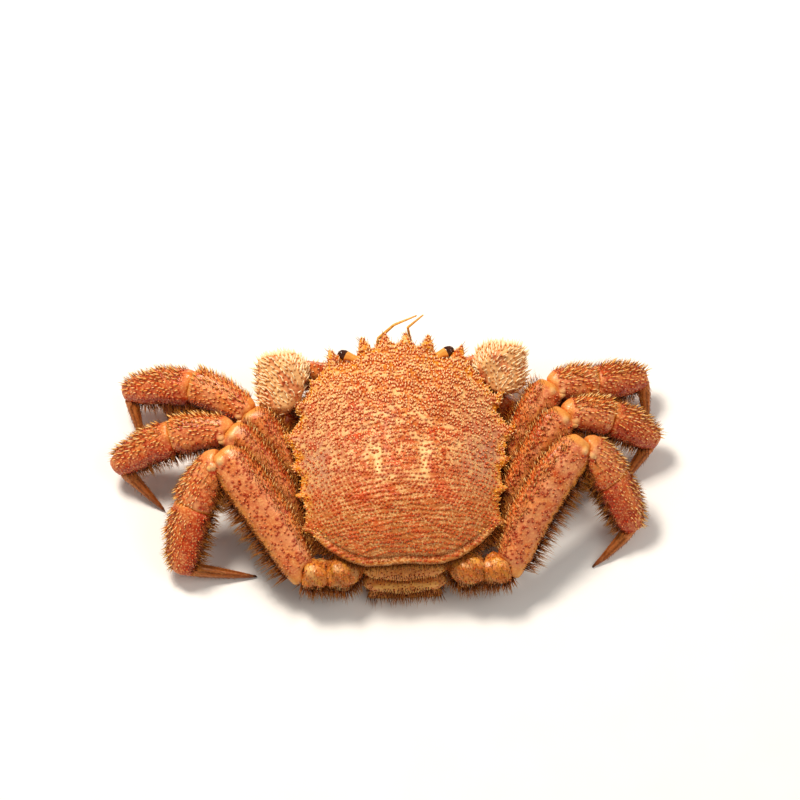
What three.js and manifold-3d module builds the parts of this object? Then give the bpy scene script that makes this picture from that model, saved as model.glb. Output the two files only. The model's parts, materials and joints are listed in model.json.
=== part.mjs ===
// A cooked hairy crab, sitting on its underside with its walking legs folded beside it.
//
// Millimetres, +Z up. The crab faces +Y and its right side is +X. The body is mirrored about
// the plane x = 0; the legs of the two sides are posed a little differently, as cooked legs are.
// Each hard piece of the shell is its own closed solid. Where one piece turns in another, the
// outer one carries a socket that is cut CLEARANCE wider than the piece inside it.

import * as THREE from 'three';
import { mergeVertices } from 'three/addons/utils/BufferGeometryUtils.js';
import Module from 'manifold-3d';

const wasm = await Module();
wasm.setup();

// ---------------------------------------------------------------- driving dimensions

const CLEARANCE = 0.3;            // gap between neighbouring pieces
const CROWN_HEIGHT = 48;          // highest point of the carapace above the ground
const RIM_HEIGHT = 28.5;          // edge of the carapace along the flanks
const FRONT_RISE = 5.5;           // how far the edge climbs towards the snout
const CARAPACE_FLOOR = 23.5;      // flat underside of the carapace
const CARAPACE_CENTRE = new THREE.Vector2(0, -2);
const THORAX_TOP = CARAPACE_FLOOR - CLEARANCE;
const STERNUM_RECESS = 0.4;       // the folded abdomen lies this far inside the sternum
const ABDOMEN_THICKNESS = 3.4;
const LIMB_SIDES = 8;
const SLIM_SIDES = 6;

// Right half of the carapace edge, from the snout to the middle of the back edge.
// Each entry is x, y, and how far a tooth stands proud of the smooth edge there.
const EDGE = [
  [0, 48.6, 0], [4.5, 51, 2.4], [10.8, 46.4, 0], [14, 49, 3], [16.4, 42.6, 0], [22, 39.8, 0],
  [27.6, 43.8, 3.4], [31.6, 38.6, 0], [36.2, 32.6, 0.6], [38.6, 28, 0], [43.3, 23.6, 3.2],
  [42.2, 17.6, 0], [48, 8.8, 4.4], [44.8, 1.6, 0], [45, -5, 1.8], [42.6, -9.4, 0],
  [43.4, -17.9, 1.8], [41, -22.8, 0], [42, -33, 2.2], [37.6, -37.4, 0], [32.8, -42.4, 0],
  [24, -47.8, 0], [16.5, -50.4, 0], [8, -50.4, 0], [0, -49.6, 0],
];

// Places of the joints of the eight walking legs. `hip` lies inside the thorax, `root` is where the
// long thigh (merus) starts, `knee` its outer end, `foot` the end of the shin and `tip` the point of
// the toe. `width` is across the flat face of the thigh and `depth` through it. `arch` is how far
// the shin bulges outward and `bow` how far the thigh bulges away from the shin.
const WALKING_LEGS = {
  leg_2: {
    width: 12,
    depth: 9,
    left: {
      hip: [-29, 1, 8], root: [-42, 1, 7.5], knee: [-67, 22.5, 15.5],
      foot: [-103, 41, 7], tip: [-95, 21, 0.6],
    },
    right: {
      hip: [29, 1, 8], root: [42, 1, 7.5], knee: [67, 25.5, 15.5],
      foot: [98, 36, 7], tip: [93, 18, 0.6],
    },
    arch: { left: 2, right: 1 },
    bow: { left: 1, right: 1 },
  },
  leg_3: {
    width: 18,
    depth: 11.5,
    left: {
      hip: [-30, -15, 9.5], root: [-44.5, -15, 9.5], knee: [-63, 20.2, 31],
      foot: [-118, 38.5, 15], tip: [-110, 17, 0.6],
    },
    right: {
      hip: [30, -15, 9.5], root: [44.5, -15, 9.5], knee: [65, 27, 32.5],
      foot: [108, 36, 15], tip: [108, 17, 0.6],
    },
    arch: { left: 8.5, right: -1.5 },
    bow: { left: 1, right: 1 },
  },
  leg_4: {
    width: 18,
    depth: 11.5,
    left: {
      hip: [-29, -31, 10], root: [-42, -31, 11], knee: [-71, 10, 37],
      foot: [-123, 5, 12], tip: [-102, -12, 0.6],
    },
    right: {
      hip: [29, -31, 10], root: [42, -31, 11], knee: [70, 12, 37],
      foot: [111, 7.5, 12], tip: [92, -12, 0.6],
    },
    arch: { left: 5.5, right: 4.5 },
    bow: { left: 1, right: 1 },
  },
  leg_5: {
    width: 20,
    depth: 11,
    left: {
      hip: [-19.5, -47, 16.5], root: [-43.5, -50, 18], knee: [-75.5, -3, 42],
      foot: [-95, -43, 8], tip: [-63, -43.5, 0.6],
    },
    right: {
      hip: [19.5, -47, 16.5], root: [45, -51, 18], knee: [77, -4, 42],
      foot: [99, -31, 8], tip: [81, -45, 0.6],
    },
    arch: { left: 5, right: 3 },
    bow: { left: 2.5, right: 5 },
  },
};

// A claw's arm rises beside the shell from `hip` through `bend` to `elbow`; its carpus is the lump
// around `carpus`, and the hand hangs from `wrist` and folds in front of the mouth to `tip`.
const CLAWS = {
  left: {
    hip: [-28, 18, 9], bend: [-41.5, 18.5, 11], elbow: [-51, 22, 23], carpus: [-50.3, 35.2, 35.5],
    wrist: [-44, 42, 21], heel: [-22, 41, 13], tip: [-3, 42, 7],
  },
  right: {
    hip: [28, 18, 9], bend: [40, 18.5, 11], elbow: [47, 28, 22], carpus: [45, 39.5, 32],
    wrist: [40, 42.5, 20], heel: [22, 41, 13], tip: [3, 42, 7],
  },
};

// Profiles along a limb piece: place from 0 to 1, share of the width, share of the depth.
const MERUS_PROFILE = [
  [0, 0.5, 0.6], [0.12, 0.74, 0.85], [0.4, 0.97, 1], [0.72, 1, 1], [0.92, 0.86, 0.9], [1, 0.5, 0.6],
];
const CARPUS_PROFILE = [
  [0, 0.5, 0.6], [0.14, 0.78, 0.9], [0.5, 0.92, 1.05], [0.86, 1.02, 1.14], [1, 0.94, 1.04],
];
const PROPODUS_PROFILE = [
  [0, 0.8, 0.9], [0.12, 0.96, 1.12], [0.45, 0.98, 1.12], [0.8, 0.78, 0.9], [1, 0.46, 0.56],
];
const PALM_PROFILE = [
  [0, 0.6, 0.6], [0.12, 0.9, 0.9], [0.4, 1, 1], [0.62, 0.8, 0.72], [0.75, 0.45, 0.4], [1, 0.12, 0.12],
];
const FINGER_PROFILE = [[0, 0.9, 0.9], [0.35, 1, 1], [0.7, 0.7, 0.7], [1, 0.15, 0.15]];
const BAND_PROFILE = [[0, 0.6, 0.6], [0.12, 0.94, 0.95], [0.5, 1, 1], [0.88, 0.94, 0.95], [1, 0.6, 0.6]];
const EYE_PROFILE = [[0, 0.7, 0.7], [0.5, 0.8, 0.8], [0.72, 1.1, 1.1], [0.9, 0.95, 0.95], [1, 0.4, 0.4]];
const FEELER_PROFILE = [[0, 1.6, 1.6], [0.25, 1.3, 1.3], [0.5, 1, 1], [0.75, 0.75, 0.75], [1, 0.4, 0.4]];
const DACTYLUS_PROFILE = [[0, 1, 1], [0.3, 0.92, 0.9], [0.7, 0.55, 0.55], [1, 0.12, 0.12]];
const BASE_PROFILE = [[0, 0.8, 0.8], [0.3, 1, 1], [0.75, 1, 1], [1, 0.72, 0.75]];
const LUMP_PROFILE = [[0, 0.45, 0.45], [0.16, 0.8, 0.8], [0.5, 1, 1], [0.84, 0.82, 0.82], [1, 0.45, 0.45]];

const COLOURS = {
  carapace: 0xd98c62, thorax: 0xd9a070, abdomen: 0xd08a55, limb: 0xd2693c, joint: 0xdf9a5a,
  toe: 0x9c4f24, claw_tip: 0x4a2a1c, eye: 0x2c1410, feeler: 0xd98a3a,
};

// ---------------------------------------------------------------- solids and meshes

const UP = new THREE.Vector3(0, 0, 1);
const FORWARD = new THREE.Vector3(0, 1, 0);
const vector = (place) => new THREE.Vector3(...place);

/** A solid from a closed geometry whose shared corners are merged. */
function solidOf(geometry) {
  const bare = new THREE.BufferGeometry();
  bare.setAttribute('position', geometry.getAttribute('position').clone());
  if (geometry.index) bare.setIndex(geometry.index.clone());
  const merged = mergeVertices(bare, 1e-4);
  return new wasm.Manifold(new wasm.Mesh({
    numProp: 3,
    vertProperties: new Float32Array(merged.getAttribute('position').array),
    triVerts: new Uint32Array(merged.index.array),
  }));
}

/** The largest connected part of a solid, so that a cut leaves no crumbs. */
function largestPart(solid) {
  const parts = solid.decompose();
  return parts.reduce((best, part) => (part.volume() > best.volume() ? part : best));
}

function geometryOf(solid) {
  const mesh = solid.getMesh();
  const geometry = new THREE.BufferGeometry();
  geometry.setAttribute('position', new THREE.BufferAttribute(new Float32Array(mesh.vertProperties), 3));
  geometry.setIndex(Array.from(mesh.triVerts));
  const flat = geometry.toNonIndexed();
  flat.computeVertexNormals();
  return flat;
}

/** A closed skin over a stack of rings that all have the same number of points. */
function skin(rings) {
  const count = rings[0].length;
  const points = rings.flat();
  const first = points.length;
  const middle = (ring) => ring.reduce((sum, p) => sum.add(p), new THREE.Vector3()).divideScalar(count);
  points.push(middle(rings[0]), middle(rings[rings.length - 1]));
  const faces = [];
  for (let level = 0; level + 1 < rings.length; level += 1) {
    for (let i = 0; i < count; i += 1) {
      const a = level * count + i;
      const b = level * count + ((i + 1) % count);
      faces.push(a, b, b + count, a, b + count, a + count);
    }
  }
  const last = (rings.length - 1) * count;
  for (let i = 0; i < count; i += 1) {
    const next = (i + 1) % count;
    faces.push(first, next, i, first + 1, last + i, last + next);
  }
  const geometry = new THREE.BufferGeometry().setFromPoints(points);
  geometry.setIndex(faces);
  return solidOf(geometry);
}

/**
 * A limb piece: rings across a curve through `route`. `across` is the direction through the flat
 * face; the width lies at right angles to it. `grow` makes the same piece larger all round.
 */
function limbPiece({ route, across, profile, width, depth, sides = LIMB_SIDES, grow = 0 }) {
  const curve = new THREE.CatmullRomCurve3(route);
  const rings = profile.map(([place, widthShare, depthShare], index) => {
    const centre = curve.getPointAt(place);
    const along = curve.getTangentAt(place);
    const wide = new THREE.Vector3().crossVectors(across, along).normalize();
    const deep = new THREE.Vector3().crossVectors(along, wide).normalize();
    if (index === 0) centre.addScaledVector(along, -grow);
    if (index === profile.length - 1) centre.addScaledVector(along, grow);
    const halfWidth = (width * widthShare) / 2 + grow;
    const halfDepth = (depth * depthShare) / 2 + grow;
    const ring = [];
    for (let i = 0; i < sides; i += 1) {
      const turn = ((i + 0.5) / sides) * 2 * Math.PI;
      ring.push(centre.clone()
        .addScaledVector(wide, halfWidth * Math.cos(turn) * 1.06)
        .addScaledVector(deep, halfDepth * Math.sin(turn) * 1.06));
    }
    return ring;
  });
  return skin(rings);
}

// ---------------------------------------------------------------- the body shell

/** The whole carapace edge, counter-clockwise from above, starting at the snout. */
function fullEdge() {
  const right = EDGE.slice(1, -1);
  const left = right.map(([x, y, proud]) => [-x, y, proud]);
  return [EDGE[0], ...left, EDGE[EDGE.length - 1], ...right.reverse()];
}

/** Height of the carapace edge at a place along the body. */
function rimHeight(y) {
  const climb = THREE.MathUtils.smoothstep(y, 12, 50);
  const sink = THREE.MathUtils.smoothstep(-y, 25, 50);
  return RIM_HEIGHT + FRONT_RISE * climb - sink;
}

/** The edge as a ring, shrunk towards the middle, with its teeth kept by `toothShare`. */
function edgeRing(share, toothShare, heightAt) {
  return fullEdge().map(([x, y, proud]) => {
    const place = new THREE.Vector2(x, y).sub(CARAPACE_CENTRE);
    const smooth = place.length() - proud * (1 - toothShare);
    place.setLength(smooth * share).add(CARAPACE_CENTRE);
    return new THREE.Vector3(place.x, place.y, heightAt(y));
  });
}

function carapaceSolid() {
  const dome = (share) => (y) => rimHeight(y) + (CROWN_HEIGHT - rimHeight(y)) * (1 - share ** 2.3) ** 0.9;
  const rings = [
    edgeRing(0.9, 0, () => CARAPACE_FLOOR),
    edgeRing(0.965, 0.2, (y) => (rimHeight(y) + CARAPACE_FLOOR) / 2),
    edgeRing(1, 1, rimHeight),
    edgeRing(0.94, 0.25, dome(0.94)),
    ...[0.85, 0.7, 0.52, 0.32, 0.12].map((share) => edgeRing(share, 0, dome(share))),
  ];
  return skin(rings);
}

/**
 * The underside of the body: flat where it rests, widening up to the carapace. Its width, back
 * and front each keep their own share of the carapace edge, as the back face is nearly upright
 * and the face under the snout slopes in to make room for the folded claws.
 */
function thoraxSolid() {
  const level = (wide, back, front, z) => edgeRing(1, 0, () => z).map((point) => {
    const long = point.y < CARAPACE_CENTRE.y ? back : front;
    return point.set(point.x * wide, CARAPACE_CENTRE.y + (point.y - CARAPACE_CENTRE.y) * long, z);
  });
  return skin([
    level(0.58, 0.8, 0.56, 0), level(0.72, 0.89, 0.62, 2.6), level(0.8, 0.92, 0.66, 9),
    level(0.85, 0.92, 0.7, 17), level(0.87, 0.9, 0.8, THORAX_TOP),
  ]);
}

/** One band of the abdomen across the back, arched like a slice of barrel. */
function abdomenBand({ halfWidth, y, z, thickness, height, lean, grow = 0 }) {
  const route = [-1, -0.5, 0, 0.5, 1].map((t) => new THREE.Vector3(
    t * halfWidth, y + 2.4 * t * t, z + 0.8 * t * t));
  const across = new THREE.Vector3(0, -Math.cos(lean), Math.sin(lean));
  return limbPiece({ route, across, profile: BAND_PROFILE, width: height, depth: thickness, grow });
}

/** The rest of the abdomen, folded forward flat under the body and tapering to a blunt point. */
function abdomenFlap(grow = 0) {
  const half = [[15, -55], [15.5, -46], [12.5, -30], [10, -14], [7, 0], [3, 8]];
  const right = half.map(([x, y], index) => new THREE.Vector2(x + grow, index === 0 ? y - grow : y + grow));
  const left = right.map(({ x, y }) => new THREE.Vector2(-x, y)).reverse();
  const shape = new THREE.Shape([...right, ...left]);
  const below = grow > 0 ? 2 * STERNUM_RECESS : 0;
  const depth = ABDOMEN_THICKNESS + grow + below;
  const plate = new THREE.ExtrudeGeometry(shape, { depth, bevelEnabled: false });
  plate.translate(0, 0, STERNUM_RECESS - below);
  return solidOf(plate);
}

// ---------------------------------------------------------------- pieces on the body

const pieces = new Map();

/** Keeps a piece by name. `grown` makes it larger, for cutting its socket into a neighbour. */
function keep(name, make, colour) {
  pieces.set(name, { solid: make(0), grown: () => make(CLEARANCE), colour });
}

/** Cuts room for the named pieces out of another one. */
function makeRoom(name, ...neighbours) {
  const piece = pieces.get(name);
  for (const neighbour of neighbours) {
    piece.solid = piece.solid.subtract(pieces.get(neighbour).grown());
  }
  piece.solid = largestPart(piece.solid);
}

function addBody() {
  keep('carapace', carapaceSolid, COLOURS.carapace);
  keep('thorax', thoraxSolid, COLOURS.thorax);
  keep('abdomen_band_1', (grow) => abdomenBand({
    halfWidth: 17.5, y: -49.6, z: 18.2, thickness: 7.4, height: 8, lean: 0.7, grow,
  }), COLOURS.abdomen);
  keep('abdomen_band_2', (grow) => abdomenBand({
    halfWidth: 17, y: -52.4, z: 10, thickness: 8.6, height: 8, lean: 0.35, grow,
  }), COLOURS.abdomen);
  keep('abdomen_flap', abdomenFlap, COLOURS.abdomen);
  keep('mouth_plates', (grow) => limbPiece({
    route: [[0, 28.5, 2.5], [0, 32, 11], [0, 36, 21]].map(vector),
    across: FORWARD,
    profile: LUMP_PROFILE,
    width: 24,
    depth: 7,
    grow,
  }), COLOURS.thorax);
}

function addHead() {
  for (const [side, sign] of [['left', -1], ['right', 1]]) {
    const place = (x, y, z) => new THREE.Vector3(sign * x, y, z);
    keep(`eye_${side}`, (grow) => limbPiece({
      route: [place(14.5, 41, 32), place(19, 43.2, 33.4), place(25, 45, 34.6)],
      across: UP,
      profile: EYE_PROFILE,
      width: 4,
      depth: 4,
      sides: SLIM_SIDES,
      grow,
    }), COLOURS.eye);
  }
  const feelers = {
    left: [[-9, 36, 21], [-9, 46, 22], [-8, 52, 27], [-5.4, 54, 34], [1, 56.4, 38.5], [9.6, 58.6, 41]],
    right: [[9, 36, 21], [8.6, 46, 22], [7, 52, 27], [4.6, 53.4, 34], [7, 56, 39], [12.4, 58, 43]],
  };
  for (const [side, places] of Object.entries(feelers)) {
    keep(`feeler_${side}`, (grow) => limbPiece({
      route: places.map(vector),
      across: UP,
      profile: FEELER_PROFILE,
      width: 1.4,
      depth: 1.4,
      sides: SLIM_SIDES,
      grow,
    }), COLOURS.feeler);
  }
}

// ---------------------------------------------------------------- legs and claws

/** Directions of a bent limb: through its flat face, and outward at the bend. */
function bendOf(start, bend, end) {
  const inner = bend.clone().sub(start);
  const outer = end.clone().sub(bend).normalize();
  const across = new THREE.Vector3().crossVectors(inner, outer).normalize();
  if (across.z < 0) across.negate();
  const outward = inner.clone().addScaledVector(outer, -inner.dot(outer)).normalize();
  const thighOutward = outer.clone().addScaledVector(inner, -inner.dot(outer) / inner.lengthSq());
  return { across, outward, thighOutward: thighOutward.normalize().negate() };
}

/** A point between two others, pushed sideways. */
function between(start, end, place, push = 0, direction = new THREE.Vector3()) {
  return start.clone().lerp(end, place).addScaledVector(direction, push);
}

function addLegBase(name, hip, root, limb, isLast) {
  if (!isLast) {
    keep(`${name}_base`, limb([hip, between(hip, root, 0.5), root], BASE_PROFILE, 0.76), COLOURS.joint);
    return;
  }
  // The last leg leaves the back of the body, where its coxa shows as a separate lump.
  const lengthwise = { across: FORWARD.clone().negate() };
  const inner = between(hip, root, 0.62);
  const swell = between(hip, inner, 0.5).add(new THREE.Vector3(0, -1, -0.6));
  const coxa = { ...lengthwise, width: 18.5, depth: 14 };
  keep(`${name}_coxa`, limb([hip, swell, inner], LUMP_PROFILE, 1, coxa), COLOURS.joint);
  const start = between(inner, hip, 0.1);
  const base = { ...lengthwise, width: 14, depth: 12 };
  keep(`${name}_base`, limb([start, between(start, root, 0.5), root], BASE_PROFILE, 1, base), COLOURS.joint);
}

function addLeg(name, joints, { width, depth, arch, bow, isLast }) {
  const order = ['hip', 'root', 'knee', 'foot', 'tip'];
  const [hip, root, knee, foot, tip] = order.map((key) => vector(joints[key]));
  const { across, outward, thighOutward } = bendOf(root, knee, foot);
  const limb = (route, profile, share, extra = {}) => (grow) => limbPiece({
    route, across, profile, width: width * share, depth: depth * share, grow, ...extra,
  });
  addLegBase(name, hip, root, limb, isLast);

  const thighMiddle = between(root, knee, 0.5, bow, thighOutward);
  const thigh = [between(root, knee, -0.03), thighMiddle, between(knee, root, -0.03)];
  keep(`${name}_merus`, limb(thigh, MERUS_PROFILE, 1), COLOURS.limb);

  const wrist = between(knee, foot, 0.46, arch, outward);
  const upperShin = [knee, between(knee, wrist, 0.5, 1, outward), wrist];
  keep(`${name}_carpus`, limb(upperShin, CARPUS_PROFILE, 0.9), COLOURS.limb);
  const lowerShin = [between(wrist, knee, 0.12), between(wrist, foot, 0.4, 1, outward), foot];
  keep(`${name}_propodus`, limb(lowerShin, PROPODUS_PROFILE, 0.88), COLOURS.limb);

  const toe = [between(foot, wrist, 0.08), between(foot, tip, 0.5, 2.5, outward), tip];
  const slim = { width: 6.5, depth: 4.6, sides: SLIM_SIDES };
  keep(`${name}_dactylus`, limb(toe, DACTYLUS_PROFILE, 1, slim), COLOURS.toe);
}

function addClaw(side, joints) {
  const { hip, bend, elbow, carpus, wrist, heel, tip } = Object.fromEntries(
    Object.entries(joints).map(([key, place]) => [key, vector(place)]));
  const name = `claw_${side}`;
  const limb = (route, profile, width, depth, extra = {}) => (grow) => limbPiece({
    route, across: UP, profile, width, depth, grow, ...extra,
  });
  keep(`${name}_merus`, limb([hip, bend, elbow], BASE_PROFILE, 12, 13, { across: FORWARD }), COLOURS.limb);
  const lump = [between(elbow, carpus, 0.1), carpus, wrist];
  keep(`${name}_carpus`, limb(lump, LUMP_PROFILE, 22, 20), COLOURS.limb);

  const fixedFinger = [between(heel, tip, 0, -3, UP), between(tip, heel, 0, -3, UP)];
  const palm = [between(wrist, heel, -0.05), between(wrist, heel, 0.5), ...fixedFinger];
  keep(`${name}_palm`, limb(palm, PALM_PROFILE, 12, 17), COLOURS.limb);
  const movingFinger = [between(heel, wrist, 0.1, 2, UP), between(heel, tip, 0.5, 4, UP), tip];
  const slim = { sides: SLIM_SIDES };
  keep(`${name}_finger`, limb(movingFinger, FINGER_PROFILE, 7, 7, slim), COLOURS.claw_tip);
}

// ---------------------------------------------------------------- the whole crab

addBody();
addHead();
for (const side of ['left', 'right']) {
  for (const [leg, { width, depth, arch, bow, ...joints }] of Object.entries(WALKING_LEGS)) {
    const size = { width, depth, arch: arch[side], bow: bow[side], isLast: leg === 'leg_5' };
    addLeg(`${leg}_${side}`, joints[side], size);
  }
  addClaw(side, CLAWS[side]);
}

makeRoom('carapace', 'eye_left', 'eye_right');
makeRoom('abdomen_band_1', 'abdomen_band_2');
makeRoom('abdomen_band_2', 'abdomen_flap');
makeRoom('mouth_plates', 'feeler_left', 'feeler_right');
makeRoom('thorax', 'abdomen_band_1', 'abdomen_band_2', 'abdomen_flap');
makeRoom('thorax', 'mouth_plates', 'feeler_left', 'feeler_right');
for (const side of ['left', 'right']) {
  makeRoom('thorax', `claw_${side}_merus`, `leg_5_${side}_coxa`);
  makeRoom(`leg_5_${side}_base`, `leg_5_${side}_coxa`);
  for (const leg of Object.keys(WALKING_LEGS)) {
    const name = `${leg}_${side}`;
    if (leg !== 'leg_5') makeRoom('thorax', `${name}_base`);
    makeRoom(`${name}_merus`, `${name}_base`);
    makeRoom(`${name}_carpus`, `${name}_merus`);
    makeRoom(`${name}_propodus`, `${name}_carpus`);
    makeRoom(`${name}_dactylus`, `${name}_propodus`);
  }
  makeRoom(`claw_${side}_carpus`, `claw_${side}_merus`);
  makeRoom(`claw_${side}_palm`, `claw_${side}_carpus`);
  makeRoom(`claw_${side}_finger`, `claw_${side}_palm`);
}

const crab = new THREE.Group();
for (const [name, { solid, colour }] of pieces) {
  const material = new THREE.MeshStandardMaterial({ color: colour, roughness: 0.55, metalness: 0 });
  const mesh = new THREE.Mesh(geometryOf(solid), material);
  mesh.name = name;
  crab.add(mesh);
}

// The origin is the middle of the ground that the whole crab covers.
const extent = new THREE.Box3().setFromObject(crab);
const middle = extent.getCenter(new THREE.Vector3());
crab.position.set(-middle.x, -middle.y, -extent.min.z);

export default crab;
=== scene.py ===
# %% [markdown]
# # A cooked hairy crab
#
# A boiled crab is a box of thin, waxy plates. Almost nothing on it is smooth: the back is sown
# with pointed granules, the legs carry rows of spines, and golden bristles hang from every lower
# edge. So the work has two halves. First come the plates, as calm rounded shells. Then comes
# everything that grows on them, made as real geometry and set down in the order nature uses.
#
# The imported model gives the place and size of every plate. Each shell here stands for one of
# those plates and is grown from a copy of it, so nothing needs to be fitted afterwards.

# %% Load the frame
import json
import math
from functools import partial

import bpy
import numpy as np
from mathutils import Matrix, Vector
from mathutils.bvhtree import BVHTree
from mathutils.kdtree import KDTree

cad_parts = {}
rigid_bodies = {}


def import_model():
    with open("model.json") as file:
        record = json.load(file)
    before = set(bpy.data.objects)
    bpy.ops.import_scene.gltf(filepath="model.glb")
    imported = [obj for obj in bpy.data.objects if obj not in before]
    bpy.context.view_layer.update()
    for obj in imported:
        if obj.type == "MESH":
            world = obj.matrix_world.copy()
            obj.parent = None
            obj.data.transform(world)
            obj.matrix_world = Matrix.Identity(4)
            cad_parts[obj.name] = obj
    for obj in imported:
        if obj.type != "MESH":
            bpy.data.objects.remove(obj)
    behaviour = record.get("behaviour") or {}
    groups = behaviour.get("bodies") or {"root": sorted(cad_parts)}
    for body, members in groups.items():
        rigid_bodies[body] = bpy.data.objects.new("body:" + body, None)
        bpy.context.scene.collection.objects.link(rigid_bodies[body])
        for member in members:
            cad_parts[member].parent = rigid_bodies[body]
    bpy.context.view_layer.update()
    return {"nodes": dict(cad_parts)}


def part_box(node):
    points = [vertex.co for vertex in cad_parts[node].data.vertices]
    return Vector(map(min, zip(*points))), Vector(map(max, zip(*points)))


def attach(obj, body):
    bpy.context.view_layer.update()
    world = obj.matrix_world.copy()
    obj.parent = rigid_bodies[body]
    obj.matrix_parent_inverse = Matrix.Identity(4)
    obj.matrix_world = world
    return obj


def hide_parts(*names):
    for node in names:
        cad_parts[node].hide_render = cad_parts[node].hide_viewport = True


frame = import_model()
MM = 0.001
print("frame:", len(frame["nodes"]), "plates")

# %% [markdown]
# ## Where the crab's own middle is
#
# The model's origin is the middle of the ground that the legs cover, which is not the middle of
# the body. Places on the back are easier to think of from the body's middle line, so one offset
# is read from the carapace, whose left and right halves are the same.

# %% Body frame
shell_low, shell_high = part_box("carapace")
BACK_EDGE = -50.4 * MM                     # back edge of the carapace, from the body's middle
BODY = np.array([(shell_low.x + shell_high.x) / 2, shell_low.y - BACK_EDGE, 0.0])
print("body middle at", [round(float(v) * 1000, 2) for v in BODY], "mm")

# %% [markdown]
# ## The camera
#
# The crab is seen from behind and high above, nearly straight down, with a long lens, so that the
# far claws look nearly as large as the near legs. The body is turned a little in the frame.

# %% Camera
ELEVATION = math.radians(68)
TURN = math.radians(2.3)                   # how far the crab is turned to the left in the frame
LENS = 180.0
SENSOR = 36.0
FRAME_WIDTH = 344 * MM                     # what the frame takes in at the height of the shell edge
AIM = Vector((0.97, 24.1, 30.0)) * MM      # the middle of the view, from the body's middle
look_at = Vector(BODY) + AIM
distance = FRAME_WIDTH * LENS / SENSOR
away = Vector((
    -math.sin(TURN) * math.cos(ELEVATION), -math.cos(TURN) * math.cos(ELEVATION), math.sin(ELEVATION),
))
bpy.ops.object.camera_add(location=look_at + away * distance)
camera = bpy.context.object
camera.name = "camera"
camera.data.lens = LENS
camera.data.sensor_width = SENSOR
camera.data.clip_start = 0.1
camera.data.clip_end = 20
camera.rotation_mode = "QUATERNION"
camera.rotation_quaternion = (-away).to_track_quat("-Z", "Y")
bpy.context.scene.camera = camera
print("camera", round(distance, 2), "m away")

# %% [markdown]
# ## Helpers for materials
#
# Colours are written as they look on a screen and turned into the linear numbers that the
# renderer wants by one function. A second one adds a shader node together with its settings and
# its links, so that each line of a material is one node.

# %% Material helpers


def linear(hex_colour):
    """An sRGB hex colour as the linear numbers that Blender's shaders use."""
    channels = [int(hex_colour[i:i + 2], 16) / 255 for i in (1, 3, 5)]
    return [c / 12.92 if c <= 0.04045 else ((c + 0.055) / 1.055) ** 2.4 for c in channels] + [1.0]


def node(material, kind, output, inputs=(), **settings):
    """Adds one node and gives back one of its outputs. Inputs pair a socket with a number, a hex
    colour or another node's output, and settings are the node's properties."""
    made = material.node_tree.nodes.new("ShaderNode" + kind)
    for key, value in settings.items():
        setattr(made, key, value)
    for socket, value in dict(inputs).items():
        if isinstance(value, bpy.types.NodeSocket):
            material.node_tree.links.new(value, made.inputs[socket])
        else:
            made.inputs[socket].default_value = linear(value) if isinstance(value, str) else value
    return made.outputs[output]


def new_material(name):
    """An empty node material, its Principled shader, and node() ready to add to it."""
    material = bpy.data.materials.new(name)
    material.use_nodes = True
    return material, material.node_tree.nodes["Principled BSDF"], partial(node, material)


def per_size(size):
    """The texture scale that gives a pattern blots of about a size in millimetres."""
    return 1 / (size * MM)


IOR = 1.4
COAT_ROUGHNESS = 0.22


def finish_shader(material, shader, colour, height, depth, roughness, span=0.16, coat=0.0):
    """Links colour, an uneven gloss and a bump of the given depth in millimetres to the shader."""
    place = node(material, "TexCoord", "Object")
    wear = node(material, "TexNoise", 0, {"Vector": place, "Scale": per_size(3.0), "Detail": 3.0})
    gloss = node(material, "MapRange", 0, {
        "Value": wear, "From Min": 0.3, "From Max": 0.7,
        "To Min": roughness - span, "To Max": roughness + span,
    })
    bump = node(material, "Bump", 0, {"Height": height, "Distance": depth * MM, "Strength": 1.0})
    material.node_tree.links.new(colour, shader.inputs["Base Color"])
    material.node_tree.links.new(gloss, shader.inputs["Roughness"])
    material.node_tree.links.new(bump, shader.inputs["Normal"])
    shader.inputs["IOR"].default_value = IOR
    shader.inputs["Coat Weight"].default_value = coat
    shader.inputs["Coat Roughness"].default_value = COAT_ROUGHNESS


print("material helpers ready")

# %% [markdown]
# ## Floor and light
#
# A pale floor and one near white softbox about as wide as the crab, high on the left and a little
# behind, with a weak fill from the other side. Bristles only read if they throw small shadows, so
# the main light is soft but not shadowless.

# %% Studio


def area_light(name, place, target, power, size, colour):
    """A square light that faces its target."""
    bpy.ops.object.light_add(type="AREA", location=place)
    light = bpy.context.object
    light.name = name
    light.data.energy = power
    light.data.size = size
    light.data.color = linear(colour)[:3]
    light.rotation_mode = "QUATERNION"
    light.rotation_quaternion = (Vector(target) - Vector(place)).to_track_quat("-Z", "Y")


bpy.ops.mesh.primitive_plane_add(size=3, location=(0, 0, 0))
floor = bpy.context.object
floor.name = "floor"
paper, paper_shader, add = new_material("matt white paper")
place = add("TexCoord", "Object")
clouds = add("TexNoise", 0, {"Vector": place, "Scale": per_size(25.0), "Detail": 3.0})
fibres = add("TexNoise", 0, {"Vector": place, "Scale": per_size(0.6), "Detail": 3.0})
paper_tone = add("Mix", 2, {0: clouds, 6: "#f3f2f0", 7: "#f8f7f6"}, data_type="RGBA")
finish_shader(paper, paper_shader, paper_tone, fibres, 0.02, 0.8, span=0.08)
floor.data.materials.append(paper)

middle = (0.0, 0.0, 0.03)
area_light("softbox", (-0.3, 0.42, 0.95), middle, power=10.0, size=0.26, colour="#fff5e8")
area_light("fill", (0.6, -0.2, 0.9), middle, power=2.4, size=0.6, colour="#fff8f0")
world = bpy.data.worlds.new("studio")
bpy.context.scene.world = world
world.use_nodes = True
background = world.node_tree.nodes["Background"]
background.inputs["Color"].default_value = linear("#f6f4ef")
background.inputs["Strength"].default_value = 0.33
bpy.context.scene.view_settings.view_transform = "Standard"
bpy.context.scene.view_settings.look = "Medium High Contrast"
print("studio ready")

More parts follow.
